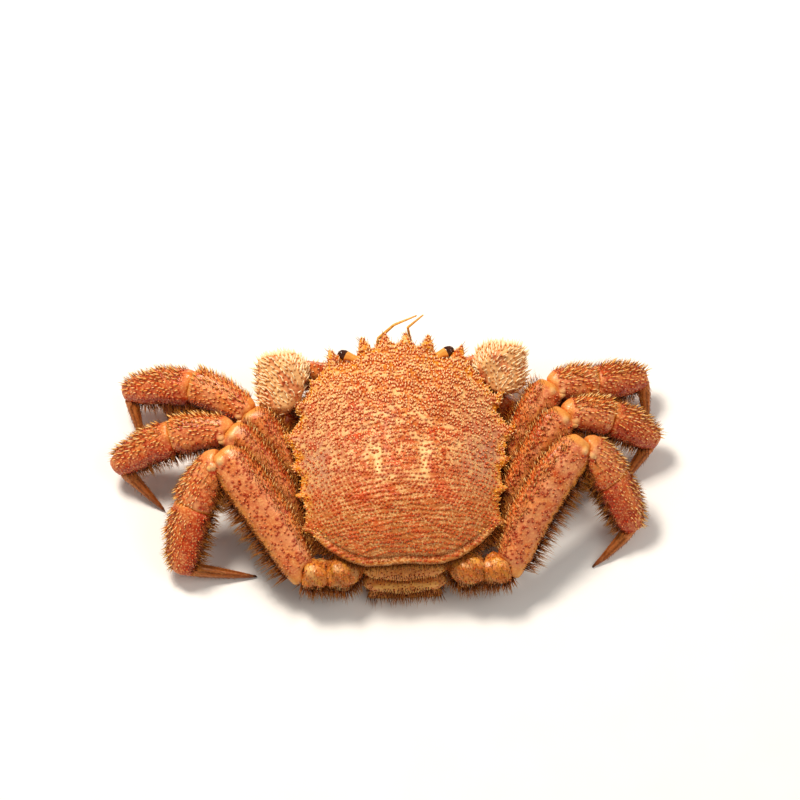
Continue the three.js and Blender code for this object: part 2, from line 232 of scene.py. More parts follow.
# %% [markdown]
# ## From a packed plate to a smooth shell
#
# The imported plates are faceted. A copy is welded, remeshed into an even net of small squares,
# relaxed until the facets are gone, and then puffed out by the little that the relaxing took
# away. The net is fine enough to carry colour from point to point. Where a plate has a knob or a
# tooth, a ball or a cone is joined to the copy first, so that it melts into the plate.

# %% Shell maker
FLOOR_GAP = 0.05 * MM                      # nothing comes nearer to the floor than this


def only(piece):
    """Makes one object the active and only selected one."""
    if bpy.context.mode != "OBJECT":
        bpy.ops.object.mode_set(mode="OBJECT")
    bpy.ops.object.select_all(action="DESELECT")
    piece.select_set(True)
    bpy.context.view_layer.objects.active = piece


def apply_modifier(piece, kind, **settings):
    """Adds a modifier, sets it and applies it at once."""
    only(piece)
    modifier = piece.modifiers.new(kind.lower(), kind)
    for key, value in settings.items():
        setattr(modifier, key, value)
    bpy.ops.object.modifier_apply(modifier=modifier.name)


def welded_copy(plate, name):
    """A copy of a packed plate with its loose triangles joined."""
    piece = bpy.data.objects.new(name, frame["nodes"][plate].data.copy())
    bpy.context.scene.collection.objects.link(piece)
    piece.data.materials.clear()
    only(piece)
    bpy.ops.object.mode_set(mode="EDIT")
    bpy.ops.mesh.select_all(action="SELECT")
    bpy.ops.mesh.remove_doubles(threshold=0.01 * MM)
    bpy.ops.object.mode_set(mode="OBJECT")
    return piece


def join_new(piece):
    """Joins the primitive that was just added to a piece."""
    bpy.context.object.select_set(True)
    piece.select_set(True)
    bpy.context.view_layer.objects.active = piece
    bpy.ops.object.join()


def add_balls(piece, balls):
    """Joins balls, each a middle and a radius, to a piece."""
    for centre, radius in balls:
        bpy.ops.object.select_all(action="DESELECT")
        bpy.ops.mesh.primitive_ico_sphere_add(subdivisions=3, radius=radius, location=centre)
        join_new(piece)


def add_cones(piece, cones):
    """Joins cones, each a foot, a direction, a length and a radius, to a piece."""
    for foot, direction, length, radius in cones:
        bpy.ops.object.select_all(action="DESELECT")
        turned = Vector(direction).to_track_quat("Z", "Y").to_euler()
        bpy.ops.mesh.primitive_cone_add(
            vertices=14, radius1=radius, radius2=radius * 0.12, depth=length,
            location=Vector(foot) + Vector(direction) * length / 2, rotation=turned)
        join_new(piece)


def smooth_shell(plate, name, cell=0.8, rounds=14, puff=0.4, balls=(), cones=()):
    """A rounded shell that stands for one packed plate. Cell and puff are in millimetres."""
    piece = welded_copy(plate, name)
    add_balls(piece, balls)
    add_cones(piece, cones)
    apply_modifier(piece, "REMESH", mode="VOXEL", voxel_size=cell * MM)
    apply_modifier(piece, "SMOOTH", factor=0.6, iterations=rounds)
    apply_modifier(piece, "DISPLACE", direction="NORMAL", mid_level=0.0, strength=puff * MM)
    put_corners(piece, corners(piece))
    bpy.ops.object.shade_smooth()
    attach(piece, "root")
    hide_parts(plate)
    return piece


def vectors(piece, field):
    """What a mesh holds under one name for each of its points: a place or a normal."""
    flat = np.empty(len(piece.data.vertices) * 3)
    piece.data.vertices.foreach_get(field, flat)
    return flat.reshape(-1, 3)


def corners(piece):
    """The points of a mesh."""
    return vectors(piece, "co")


def outward(piece):
    """The normals at a mesh's points."""
    return vectors(piece, "normal")


def put_corners(piece, points):
    """Moves the points of a mesh, keeping them above the floor."""
    points[:, 2] = np.maximum(points[:, 2], FLOOR_GAP)
    piece.data.vertices.foreach_set("co", points.ravel())
    piece.data.update()


def paint(piece, name, values):
    """Stores one number for each point, for a material to read."""
    layer = piece.data.attributes.get(name) or piece.data.attributes.new(name, "FLOAT", "POINT")
    layer.data.foreach_set("value", np.clip(values, 0, 1).astype(np.float32))


def ramp(values, low, high):
    """0 below low, 1 above high, with a soft step between."""
    t = np.clip((values - low) / (high - low), 0, 1)
    return t * t * (3 - 2 * t)


def uneven(points, size):
    """Slow swells between -1 and 1 with a wavelength in millimetres, so that no plate is perfect."""
    x, y, z = (points / MM / size * 2 * math.pi).T
    return (np.sin(x + 0.7 * y) + np.sin(1.3 * y - 0.9 * z + 1) + np.sin(1.1 * z + 0.8 * x + 2)) / 3


print("shell maker ready")

# %% [markdown]
# ## Spikes, granules and bristles
#
# Everything that grows on the shell is one closed, tapering shape: a short fat one is a granule,
# a long one a spine, and a thin curved one a bristle. They are set down in thousands, so one
# function makes a whole crop of them as a single mesh, with a few faces each. Each point knows how
# near the tip it is, and each spike has a chance number of its own, so that the material can
# shade it from root to tip and no two neighbours look quite alike.

# %% Spike maker
TIP_GAP = 0.3 * MM                         # a hanging tip ends this high above the floor
TRIES = 3.5                                # random places tried in each square of the spacing
GATHER = 0.2                               # how strongly a tuft's tips lean together
rng = np.random.default_rng(20)


def unit(v):
    """Vectors cut or stretched to length 1."""
    return v / np.linalg.norm(v, axis=-1, keepdims=True)


def spikes(name, slot, roots, directions, lengths, radii, bend, tint, profile, sides):
    """One mesh with a closed spike on each root. Profile pairs a place along it with a thickness."""
    count = len(roots)
    fall = (directions + bend)[:, 2] * lengths
    room = np.maximum(roots[:, 2] - TIP_GAP, 0.1 * MM)
    cut = lengths * room / np.maximum(-fall, 1e-9)
    lengths = np.where(roots[:, 2] + fall < TIP_GAP, cut, lengths)
    helper = np.where(np.abs(directions[:, 2:3]) < 0.8, [[0.0, 0.0, 1.0]], [[1.0, 0.0, 0.0]])
    first = unit(np.cross(directions, helper))
    second = np.cross(directions, first)
    spin = rng.uniform(0, 2 * math.pi, count)
    levels, shares = [], []
    for place, share in profile:
        centre = roots + (directions * place + bend * place ** 2) * lengths[:, None]
        for side in range(sides):
            turn = (spin + 2 * math.pi * side / sides)[:, None]
            offset = first * np.cos(turn) + second * np.sin(turn)
            levels.append(centre + offset * (radii * share)[:, None])
            shares.append(place)
    levels.append(roots + (directions + bend) * lengths[:, None])
    shares.append(1.0)
    points = np.stack(levels, axis=1)
    points[..., 2] = np.maximum(points[..., 2], FLOOR_GAP)
    each = points.shape[1]
    faces = [[0, side + 1, side] for side in range(1, sides - 1)]
    for level in range(len(profile) - 1):
        low, high = level * sides, (level + 1) * sides
        for side in range(sides):
            after = (side + 1) % sides
            faces.append([low + side, low + after, high + after])
            faces.append([low + side, high + after, high + side])
    last = (len(profile) - 1) * sides
    for side in range(sides):
        faces.append([last + side, last + (side + 1) % sides, each - 1])
    faces = np.array(faces)[None] + (np.arange(count) * each)[:, None, None]
    mesh = bpy.data.meshes.new(name)
    mesh.from_pydata(points.reshape(-1, 3), [], faces.reshape(-1, 3))
    mesh.update()
    piece = bpy.data.objects.new(name, mesh)
    bpy.context.scene.collection.objects.link(piece)
    mesh.shade_smooth()
    paint(piece, "tip", np.tile(shares, count))
    paint(piece, "chance", np.repeat(rng.uniform(0, 1, count), each))
    paint(piece, "tint", np.repeat(tint, each))
    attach(piece, "root")
    print(f"{name}: {count} spikes, {len(mesh.polygons)} faces")
    return piece


def thin_out(places, spacing):
    """Indices of points that keep a spacing from every earlier kept one."""
    cell = spacing / math.sqrt(3)
    around = [(i, j, k) for i in range(-2, 3) for j in range(-2, 3) for k in range(-2, 3)]
    grid, kept = {}, []
    limit = spacing ** 2
    cells = np.floor(places / cell).astype(int).tolist()
    rows = places.tolist()
    for index, (i, j, k) in enumerate(cells):
        if (i, j, k) in grid:
            continue
        a, b, c = rows[index]
        for di, dj, dk in around:
            other = grid.get((i + di, j + dj, k + dk))
            if other and (other[0] - a) ** 2 + (other[1] - b) ** 2 + (other[2] - c) ** 2 < limit:
                break
        else:
            grid[(i, j, k)] = rows[index]
            kept.append(index)
    return np.array(kept, dtype=int)


def scatter(piece, spacing, wanted_where=None):
    """Evenly spread places on a mesh with their normals, a spacing in millimetres apart."""
    mesh = piece.data
    mesh.calc_loop_triangles()
    triangles = np.empty(len(mesh.loop_triangles) * 3, np.int64)
    mesh.loop_triangles.foreach_get("vertices", triangles)
    triangles = triangles.reshape(-1, 3)
    points, normals = corners(piece), outward(piece)
    a, b, c = (points[triangles[:, i]] for i in range(3))
    areas = np.linalg.norm(np.cross(b - a, c - a), axis=1) / 2
    tries = int(areas.sum() / (spacing * MM) ** 2 * TRIES)
    chosen = rng.choice(len(triangles), tries, p=areas / areas.sum())
    u, v = rng.uniform(0, 1, (2, tries))
    beyond = u + v > 1
    u, v = np.where(beyond, 1 - u, u)[:, None], np.where(beyond, 1 - v, v)[:, None]
    w = 1 - u - v
    places = a[chosen] * w + b[chosen] * u + c[chosen] * v
    na, nb, nc = (normals[triangles[chosen, i]] for i in range(3))
    facing = unit(na * w + nb * u + nc * v)
    if wanted_where is not None:
        wanted = wanted_where(places, facing)
        places, facing = places[wanted], facing[wanted]
    kept = thin_out(places, spacing * MM)
    return places[kept], facing[kept]


def tufted(roots, aims, spacing, share):
    """Turns bristles towards their neighbours, so that their tips gather in tufts."""
    leaders = thin_out(roots, spacing * MM)
    tree = KDTree(len(leaders))
    for leader in leaders:
        tree.insert(roots[leader], int(leader))
    tree.balance()
    chief = np.array([tree.find(root)[1] for root in roots])
    gather = (roots[chief] - roots) / MM * GATHER
    return unit(unit(aims) * (1 - share) + unit(aims[chief]) * share + gather * share)


class Crop:
    """Gathers the roots of one kind of spike from many plates."""

    def __init__(self):
        self.rows = []

    def add(self, roots, facing, aim, lengths, radii, sunk=0.0, bend=(0.0, 0.0, 0.0), tint=0.0):
        """Adds spikes, their roots sunk into the shell. Lengths, radii and sunk are in millimetres."""
        count = len(roots)
        self.rows.append((
            roots - facing * sunk * MM, unit(aim), lengths * MM, radii * MM,
            np.broadcast_to(bend, (count, 3)), np.broadcast_to(tint, count)))

    def grow(self, name, slot, profile, sides, finish):
        """Makes the whole crop one mesh with one finish."""
        columns = [np.concatenate(column) for column in zip(*self.rows)]
        spikes(name, slot, *columns, profile, sides).data.materials.append(finish)


def jitter(count, amount):
    """Small chance vectors that keep spikes from standing parallel."""
    return rng.normal(0, amount, (count, 3))


def between(low, high, count):
    """Chance numbers spread evenly from low to high."""
    return rng.uniform(low, high, count)


GRANULE = [(0.0, 1.15), (0.4, 0.72), (0.75, 0.4)]
SPINE = [(0.0, 1.0), (0.3, 0.78), (0.68, 0.42)]
GRAIN = [(0.0, 1.0), (0.55, 0.62)]
BRISTLE = [(0.0, 1.0), (0.55, 0.72)]
print("spike maker ready")

# %% [markdown]
# ### Materials for spikes
#
# A spine is deep orange at its foot, where the pigment is thick, and pale at the worn tip. A
# bristle follows the same rule: brown at the root, golden where the light comes through it.

# %% Spike material


def tipped_material(name, root, waist, tip, other_tip, chance_colour, roughness=0.4, turn=(0.1, 0.5, 0.9)):
    """Colour from root to tip; the mesh's tint swaps the tip's colour for another."""
    material, shader, add = new_material(name)
    along = add("Attribute", "Fac", attribute_name="tip")
    luck = add("Attribute", "Fac", attribute_name="chance")
    tint = add("Attribute", "Fac", attribute_name="tint")
    change = add("MapRange", 0, {"Value": luck, "From Min": 0.3, "From Max": 1.0, "To Max": 0.5})
    change = add("Math", 0, {0: tint, 1: 0.4, 2: change}, operation="MULTIPLY_ADD")
    waist = add("Mix", 2, {0: change, 6: waist, 7: chance_colour}, data_type="RGBA")
    above_root = add("MapRange", 0, {"Value": along, "From Min": turn[0], "From Max": turn[1]})
    colour = add("Mix", 2, {0: above_root, 6: root, 7: waist}, data_type="RGBA")
    end = add("Mix", 2, {0: tint, 6: tip, 7: other_tip}, data_type="RGBA")
    above_waist = add("MapRange", 0, {"Value": along, "From Min": turn[1], "From Max": turn[2]})
    colour = add("Mix", 2, {0: above_waist, 6: colour, 7: end}, data_type="RGBA")
    place = add("TexCoord", "Object")
    grain = add("TexNoise", 0, {"Vector": place, "Scale": per_size(0.4), "Detail": 3.0})
    finish_shader(material, shader, colour, grain, 0.03, roughness, span=0.1)
    return material


spine_finish = tipped_material(
    "spine chitin", "#b84512", "#da7c30", "#f0b964", "#fbdfa8", "#e8a857", turn=(0.0, 0.22, 0.6))
# On the carapace granules, the cream second tip colour is partly a painted glint.
bead_finish = tipped_material(
    "granule chitin", "#b4300a", "#bf400e", "#cc6426", "#fde0ac", "#e08e48", turn=(0.05, 0.3, 0.65))
bristle_finish = tipped_material(
    "golden bristle", "#4e2208", "#a9611a", "#e4a440", "#96571c", "#84430f", roughness=0.45)
print("spike finishes ready")

# %% [markdown]
# ## The carapace
#
# The back shield is the part that everyone looks at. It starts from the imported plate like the
# others, with a finer net and with fourteen pairs of teeth melted into its edge. Its regions are
# then raised and lowered a little, as on every crab: a swollen middle, a gill chamber to each
# side, shallow furrows between them, and a rolled hem with a groove before it along the back.

# %% Carapace shell
MIDDLE_BACK = 2.0                          # the middle of the outline is this far behind the body's
TEETH = [
    # across, forward, length
    (4.4, 50.5, 3.6), (14.0, 48.6, 4.4), (27.4, 43.4, 4.6), (35.5, 34.5, 2.8), (43.0, 23.4, 4.4),
    (47.4, 8.8, 5.2), (45.2, -5.0, 3.6), (43.4, -17.9, 3.4), (41.8, -32.6, 3.8), (20.5, 41.5, 2.2),
    (40.6, 28.6, 2.0), (45.4, 2.0, 2.2), (42.4, -25.0, 2.0), (10.0, 46.6, 2.0),
]
ORBITS = [
    # across, forward, height, radius
    (25.5, 41.6, 30.6, 2.6), (18.5, 41.0, 30.2, 2.4), (22.2, 40.2, 30.2, 2.7),
]
plate_points = corners(frame["nodes"]["carapace"])
tooth_cones = []
for across, ahead, length in TEETH:
    for side in (-1, 1):
        at = BODY + np.array([side * across, ahead, 0]) * MM
        out = unit(np.array([side * across, ahead + MIDDLE_BACK, 0.0]))
        out = unit(out + [0.0, 0.4, 0.0])
        near = plate_points[np.hypot(*(plate_points - at)[:, :2].T) < 5 * MM]
        rim = near[np.argmax(near @ out)]
        foot = rim - out * length * 0.8 * MM
        tooth_cones.append((foot, out + [0, 0, 0.15], length * 1.5 * MM, (0.5 * length + 1.0) * MM))
orbits = [
    (BODY + np.array([side * across, ahead, height]) * MM, radius * MM)
    for across, ahead, height, radius in ORBITS for side in (-1, 1)
]
carapace = smooth_shell(
    "carapace", "carapace_shell", cell=0.55, rounds=5, puff=0.2, balls=orbits, cones=tooth_cones)
back = corners(carapace)
SECTORS = 240


def plan_of(points):
    """Places on the plan, in millimetres from the body's middle."""
    return (points[:, 0] - BODY[0]) / MM, (points[:, 1] - BODY[1]) / MM


def polar(points):
    """The sector of the plan that points lie in, and their distance from the outline's middle."""
    x, y = plan_of(points)
    y = y + MIDDLE_BACK
    return (np.arctan2(y, x) + math.pi) / (2 * math.pi) * SECTORS, np.hypot(x, y)


def away_from_middle(points):
    """Level directions from the middle of the outline through points."""
    x, y = plan_of(points)
    return unit(np.stack([x, y + MIDDLE_BACK, x * 0], axis=1))


turn, radius = polar(back)
reach = np.zeros(SECTORS)
np.maximum.at(reach, turn.astype(int) % SECTORS, radius)


def edge_share(points):
    """How far points lie from the middle of the back, as a share of the way to its edge."""
    turn, radius = polar(points)
    return radius / np.interp(turn - 0.5, np.arange(SECTORS), reach, period=SECTORS)


def hills(x, y, rows):
    """The sum of soft round hills, the same on both sides. REGIONS says what a row holds."""
    return sum(
        height * np.exp(-((np.abs(x) - across) / wide) ** 2 - ((y - ahead) / long) ** 2)
        for height, across, ahead, wide, long in rows)


REGIONS = [
    # height, across, forward, width across, length forward
    (0.9, 0, 12, 11, 13),                  # stomach
    (0.7, 24, -8, 11, 16),                 # gill chambers
    (0.6, 22, 24, 9, 8),                   # liver, behind the eyes
    (0.5, 0, -22, 9, 9),                   # heart
    (0.6, 6, 33, 4, 8),                    # brow
    (-0.9, 10.5, -10, 2.4, 10),            # furrows beside the heart
    (-0.7, 15, 5, 6, 2.2),                 # furrows across, behind the stomach
    (-0.6, 0, 40, 2.0, 9),                 # cleft of the snout
    (-0.4, 13, 20, 3, 8),                  # furrows beside the stomach
]


def relief(x, y, share):
    """Height of the back's regions over the plain dome, in millimetres."""
    height = hills(x, y, REGIONS)
    behind = ramp(-y, 28, 42)
    height -= behind * 0.7 * np.exp(-((share - 0.952) / 0.012) ** 2)
    height += behind * 0.6 * np.exp(-((share - 0.982) / 0.014) ** 2)
    return height


share = edge_share(back)
facing = outward(carapace)
x, y = plan_of(back)
lift = relief(x, y, share) * ramp(facing[:, 2], 0.0, 0.6) + 0.12 * uneven(back, 11)
put_corners(carapace, back + facing * lift[:, None] * MM)
print("carapace:", len(back), "points")

# %% [markdown]
# ### Where the back is pale, flushed or violet
#
# Boiling turns the shell orange unevenly. The nose is yellow and the flanks stay violet pink,
# two pale streaks mark the furrows beside the heart, and a red flush lies in front of them.
# These are stored as numbers on the points for the material to mix.

# %% Carapace colour map
STREAKS = [
    # strength, across, forward, width across, length forward
    (1.3, 9.7, -10, 1.7, 8), (1.2, 11.5, -5, 3.0, 2.4), (0.8, 5.5, -17.5, 4.5, 1.7), (0.8, 0, -4.6, 2, 1.5),
]
FLUSHES = [(0.9, 19, 2.5, 9, 3.2), (0.7, 0, -9, 4.5, 4.5), (0.5, 14, -22, 8, 5)]
EYE_CORNERS = [(1.3, 22, 41, 7, 5)]
streaks = hills(x, y, STREAKS)
brow = np.abs(y - 8.5 - 2.6 * np.sin((np.abs(x) - 3) * 0.42))
streaks += 0.75 * np.exp(-(brow / 1.4) ** 2) * ramp(17 - np.abs(x), 0, 4)
streaks += 0.6 * ramp(uneven(back, 9), 0.3, 0.7) * ramp(y, -20, 0)
flush = hills(x, y, FLUSHES) + 0.55 * ramp(uneven(back + 0.02, 13), 0.15, 0.65)
violet = ramp(np.abs(x), 14, 36) * ramp(36 - y, 0, 16) * (0.5 + 0.5 * ramp(-y, -14, 12))
golden = 0.55 * ramp(y, 12, 38) * (0.6 + 0.4 * uneven(back, 8)) + hills(x, y, EYE_CORNERS)
golden += 1.1 * ramp(share, 0.88, 0.95) * ramp(y, -36, -14)
golden += 0.25 * ramp(share, 0.96, 0.98) * ramp(-y, 28, 42)
paint(carapace, "pale", streaks)
paint(carapace, "flush", flush)
paint(carapace, "violet", violet + 0.3 * ramp(-y, 20, 40))
paint(carapace, "golden", golden)
paint(carapace, "rear", ramp(-y, 2, 34))
# Points that face sideways or down are marked for a dark brown: painted shade on the shell's flanks and
# underside.
paint(carapace, "painted_underside_shade", ramp(0.2 - facing[:, 2], 0.0, 0.3))
print("colour map ready")

# %% [markdown]
# ### Granules
#
# The granules stand in wavy rows across the body, a little under two millimetres apart and closer
# in front. Towards the snout they turn into small forward-leaning thorns with pale tips; towards
# the back edge they flatten to dark red beads. They are set out row by row on the plan and dropped
# onto the shell from above.

# %% Carapace granules
ROW_STEP = 1.8                             # from row to row at the back, in millimetres
BEAD_STEP = 1.7                            # from bead to bead in a row there
PLAN_BACK, PLAN_FRONT, PLAN_SIDE = -50.0, 53, 49
DROP_FROM = 0.2                            # well above the crab, in metres
LOWEST_SEAT = 24 * MM                      # a ray that lands below this has missed the back
carapace_tree = BVHTree.FromObject(carapace, bpy.context.evaluated_depsgraph_get())


def granule_plan():
    """Places of the granules on the plan of the back, in millimetres."""
    found = []
    level, row = PLAN_BACK, 0
    while level < PLAN_FRONT:
        ahead = float(ramp(np.array(level), -14, 22))
        step = BEAD_STEP - 0.42 * ahead
        across = np.arange(-PLAN_SIDE, PLAN_SIDE, step) + (row % 2) * step / 2
        loose = 0.13 + 0.32 * float(ramp(np.array(level), -24, 4))
        wave = 0.6 * np.sin(across / 6 + row * 0.9) + 0.3 * np.sin(across / 2.3 + row * 2.1)
        stray = rng.normal(0, 1, (2, len(across))) * loose
        along = level + wave - 0.0022 * across ** 2 + stray[1] * 0.8
        found.append(np.stack([across + stray[0], along], axis=1))
        level += ROW_STEP - 0.38 * ahead
        row += 1
    return np.concatenate(found)


def drop(plan):
    """Drops points of the plan onto the back from above."""
    places, normals = [], []
    for px, py in plan:
        start = Vector((BODY[0] + px * MM, BODY[1] + py * MM, DROP_FROM))
        place, normal, _, _ = carapace_tree.ray_cast(start, Vector((0, 0, -1)))
        if place is not None and place.z > LOWEST_SEAT:
            places.append(place)
            normals.append(normal)
    return np.array(places), np.array(normals)


seats, leans = drop(granule_plan())
inside = edge_share(seats) < 0.99
seats, leans = seats[inside], leans[inside]
gx, gy = plan_of(seats)
forward = ramp(gy, -8, 32)
rear = ramp(-gy, 5, 35)
on_hem = ramp(edge_share(seats), 0.94, 0.97) * rear
count = len(seats)
heights = (0.72 + 0.38 * forward - 0.15 * rear - 0.2 * on_hem) * between(0.6, 1.6, count)
widths = (0.50 - 0.08 * forward - 0.06 * rear - 0.06 * on_hem) * between(0.7, 1.35, count)
lean = leans + np.stack([gx * 0.006, 0.15 + 0.7 * forward, gx * 0], axis=1) + jitter(count, 0.12)
# Cream tips on the granules, most of them towards the front. They are partly the granules' own pale tips
# and partly painted glints that stand in for light caught on each granule.
pale_tips_and_glints = np.clip((forward * 0.5 + between(0.0, 0.9, count)) * ramp(gy, -26, 0), 0, 1)
granules = Crop()
granules.add(seats, leans, lean, heights + 0.2, widths, sunk=0.2, tint=pale_tips_and_glints)
granules.grow("carapace_granules", "carapace_shell", GRANULE, 6, bead_finish)

# %% [markdown]
# The pigment gathers round the foot of every granule, so each one stands in a small brick red
# disc. The distance from each point of a shell to the nearest foot gives that disc.

# %% Granule seats


def paint_seats(piece, places, size=0.75, squeeze=1.0):
    """Marks a soft disc round each of the given places. Size is a mean radius in millimetres."""
    sizes = np.broadcast_to(size, len(places)) * between(0.55, 1.35, len(places))
    shape = np.array([squeeze, 1.0, 1.0])
    tree = KDTree(len(places))
    for index, place in enumerate(places * shape):
        tree.insert(place, index)
    tree.balance()
    found = [tree.find(point) for point in corners(piece) * shape]
    gaps = np.array([gap for _, _, gap in found]) / MM
    paint(piece, "seat", np.exp(-(gaps / sizes[[index for _, index, _ in found]]) ** 2))


paint_seats(carapace, seats, size=0.7 - 0.1 * rear - 0.08 * forward, squeeze=0.72)
print("seats painted")

# %% [markdown]
# ### Boiled carapace
#
# Crab shell is chitin stiffened with chalk: waxy, slightly translucent, with a soft gloss that
# breaks up on its fine grain. Its orange is a pigment inside the shell, so it is cloudy, never
# even. Fine pale flecks stand between the granules, which gives the frosted look of cooked shell.

# %% Carapace material
ROW_WAVE = 2 * math.pi / (20 * ROW_STEP * MM)   # gives a wave texture one ridge in every row


REGION_TONES = [
    ("violet", "#cc997c"), ("rear", "#ba672a"), ("golden", "#dc8c12"), ("flush", "#cd4a12"),
    ("pale", "#f6d092"),
]


def boiled_carapace():
    material, shader, add = new_material("boiled carapace")
    place = add("TexCoord", "Object")
    clouds = add("TexNoise", 0, {"Vector": place, "Scale": per_size(7.0), "Detail": 5.0})
    drifts = add("TexNoise", 0, {"Vector": place, "Scale": per_size(4.0), "Detail": 3.0})
    blots = add("TexNoise", 0, {"Vector": place, "Scale": per_size(2.5), "Detail": 3.0})
    flecks = add("TexNoise", 0, {"Vector": place, "Scale": per_size(0.75), "Detail": 4.0})
    seat = add("Attribute", "Fac", attribute_name="seat")
    rear = add("Attribute", "Fac", attribute_name="rear")

    share = add("MapRange", 0, {"Value": clouds, "From Min": 0.35, "From Max": 0.65})
    colour = add("Mix", 2, {0: share, 6: "#b85414", 7: "#cf7a30"}, data_type="RGBA")
    for region, tone in REGION_TONES:
        share = add("Attribute", "Fac", attribute_name=region)
        colour = add("Mix", 2, {0: share, 6: colour, 7: tone}, data_type="RGBA")

    # Towards the back a paler tone follows the ridges of a wave texture. It is partly the shell's own pale
    # ridges between the granule rows and partly a painted highlight on the ridge tops. The same ridges also
    # raise the bump.
    rows = add("TexWave", "Fac", {
        "Vector": place, "Scale": ROW_WAVE, "Distortion": 11.0, "Detail": 3.0, "Detail Scale": 0.9,
    }, bands_direction="Y")
    rows = add("Math", 0, {0: rows, 1: rear}, operation="MULTIPLY")
    share = add("Math", 0, {0: rows, 1: 0.28}, operation="MULTIPLY")
    colour = add("Mix", 2, {0: share, 6: colour, 7: "#e5a468"}, data_type="RGBA")

    frost = add("MapRange", 0, {
        "Value": drifts, "From Min": 0.3, "From Max": 0.7, "To Min": -0.12, "To Max": 0.14,
    })
    frost = add("Math", 0, {0: flecks, 1: frost}, operation="ADD")
    frost = add("MapRange", 0, {"Value": frost, "From Min": 0.5, "From Max": 0.62})
    cream = add("Math", 0, {0: rear, 1: -0.3, 2: 0.88}, operation="MULTIPLY_ADD")
    frost = add("Math", 0, {0: frost, 1: cream}, operation="MULTIPLY")
    colour = add("Mix", 2, {0: frost, 6: colour, 7: "#ecc184"}, data_type="RGBA")

    share = add("MapRange", 0, {"Value": blots, "From Min": 0.4, "From Max": 0.6})
    rust = add("Mix", 2, {0: share, 6: "#b22c04", 7: "#8c2606"}, data_type="RGBA")
    share = add("MapRange", 0, {"Value": seat, "From Min": 0.25, "From Max": 0.8, "To Max": 0.85})
    colour = add("Mix", 2, {0: share, 6: colour, 7: rust}, data_type="RGBA")
    # Dark brown where the shell faces sideways or down: painted shade.
    painted_underside_shade = add("Attribute", "Fac", attribute_name="painted_underside_shade")
    colour = add("Mix", 2, {0: painted_underside_shade, 6: colour, 7: "#7e4016"}, data_type="RGBA")

    height = add("Math", 0, {0: flecks, 1: seat}, operation="ADD")
    height = add("Math", 0, {0: rows, 1: 0.5, 2: height}, operation="MULTIPLY_ADD")
    finish_shader(material, shader, colour, height, 0.28, 0.42, coat=0.05)
    return material


carapace.data.materials.append(boiled_carapace())
print("carapace finished")

# %% [markdown]
# ### Thorns along the edge
#
# Golden thorns crowd the edge and climb over its teeth, so that its outline is nowhere a clean
# line. The hem along the back has none.

# %% Edge thorns
edge_crop = Crop()


def on_the_edge(places, facing):
    _, y = plan_of(places)
    return (edge_share(places) > 0.93) & (y > -38) & (facing[:, 2] > -0.25) & (places[:, 2] > 26 * MM)


roots, facing = scatter(carapace, 1.5, on_the_edge)
_, ey = plan_of(roots)
count = len(roots)
size = (1.0 + 0.2 * ramp(ey, -20, 10) - 0.5 * ramp(ey, 26, 40)) * between(0.5, 1.5, count)
aim = facing * 0.6 + away_from_middle(roots) * 0.7 + [0, 0.35, 0.2] + jitter(count, 0.15)
edge_crop.add(roots, facing, aim, size, between(0.34, 0.52, count), sunk=0.2, tint=between(0.2, 1, count))
thorn_finish = tipped_material(
    "golden thorn chitin", "#d8801c", "#e39a28", "#f0ba50", "#fae2a2", "#eeae40", turn=(0.0, 0.3, 0.7))
edge_crop.grow("carapace_edge_thorns", "carapace_shell", SPINE, 6, thorn_finish)

# %% [markdown]
# ## The limbs' own directions
#
# A leg bends in one plane, and its plates are flattened into that plane. Everything on a leg is
# placed by it: spines stand along the outer edge of the bend, bristles hang from the inner edge,
# and the broad face between them has only low beads. The joints are found as the places where two
# neighbouring plates come closest.

# %% Limb directions
WALKING = ["leg_2", "leg_3", "leg_4", "leg_5"]
SIDES = ["left", "right"]


def joint_between(first, second):
    """The middle of the region where two neighbouring plates meet."""
    a = corners(frame["nodes"][first])
    b = corners(frame["nodes"][second])
    gaps = np.linalg.norm(a[:, None, :] - b[None, :, :], axis=2)
    near_a, near_b = np.nonzero(gaps < gaps.min() + 3.5 * MM)
    return (a[np.unique(near_a)].mean(0) + b[np.unique(near_b)].mean(0)) / 2


class Limb:
    """A limb plate with its start, its direction, its outer side and its broad face."""

    def __init__(self, plate, start, end, outer, face):
        self.plate = plate
        self.start = start
        self.length = float(np.linalg.norm(end - start))
        self.along = unit(end - start)
        self.outer = unit(outer - self.along * outer.dot(self.along))
        self.face = unit(np.cross(self.along, self.outer))
        if self.face.dot(face) < 0:
            self.face = -self.face

    def measure(self, piece):
        """Notes how wide and deep the plate is along its length."""
        points = corners(piece) - self.start
        t = points @ self.along / self.length
        self.stations = np.linspace(np.quantile(t, 0.01), np.quantile(t, 0.99), 12)
        self.lines = []
        for direction in (self.outer, self.face):
            across = points @ direction
            low, high = [], []
            for station in self.stations:
                here = across[np.abs(t - station) < 0.09]
                low.append(here.min() if len(here) else 0.0)
                high.append(here.max() if len(here) else 0.0)
            self.lines.append((np.array(low), np.array(high)))

    def place(self, points):
        """Where points lie: along 0 to 1, then -1 to 1 towards the outer edge and the broad face."""
        rel = points - self.start
        t = rel @ self.along / self.length
        found = [t]
        for direction, (low, high) in zip((self.outer, self.face), self.lines):
            lowest = np.interp(t, self.stations, low)
            highest = np.interp(t, self.stations, high)
            half = np.maximum((highest - lowest) / 2, 0.5 * MM)
            found.append((rel @ direction - (lowest + highest) / 2) / half)
        return found


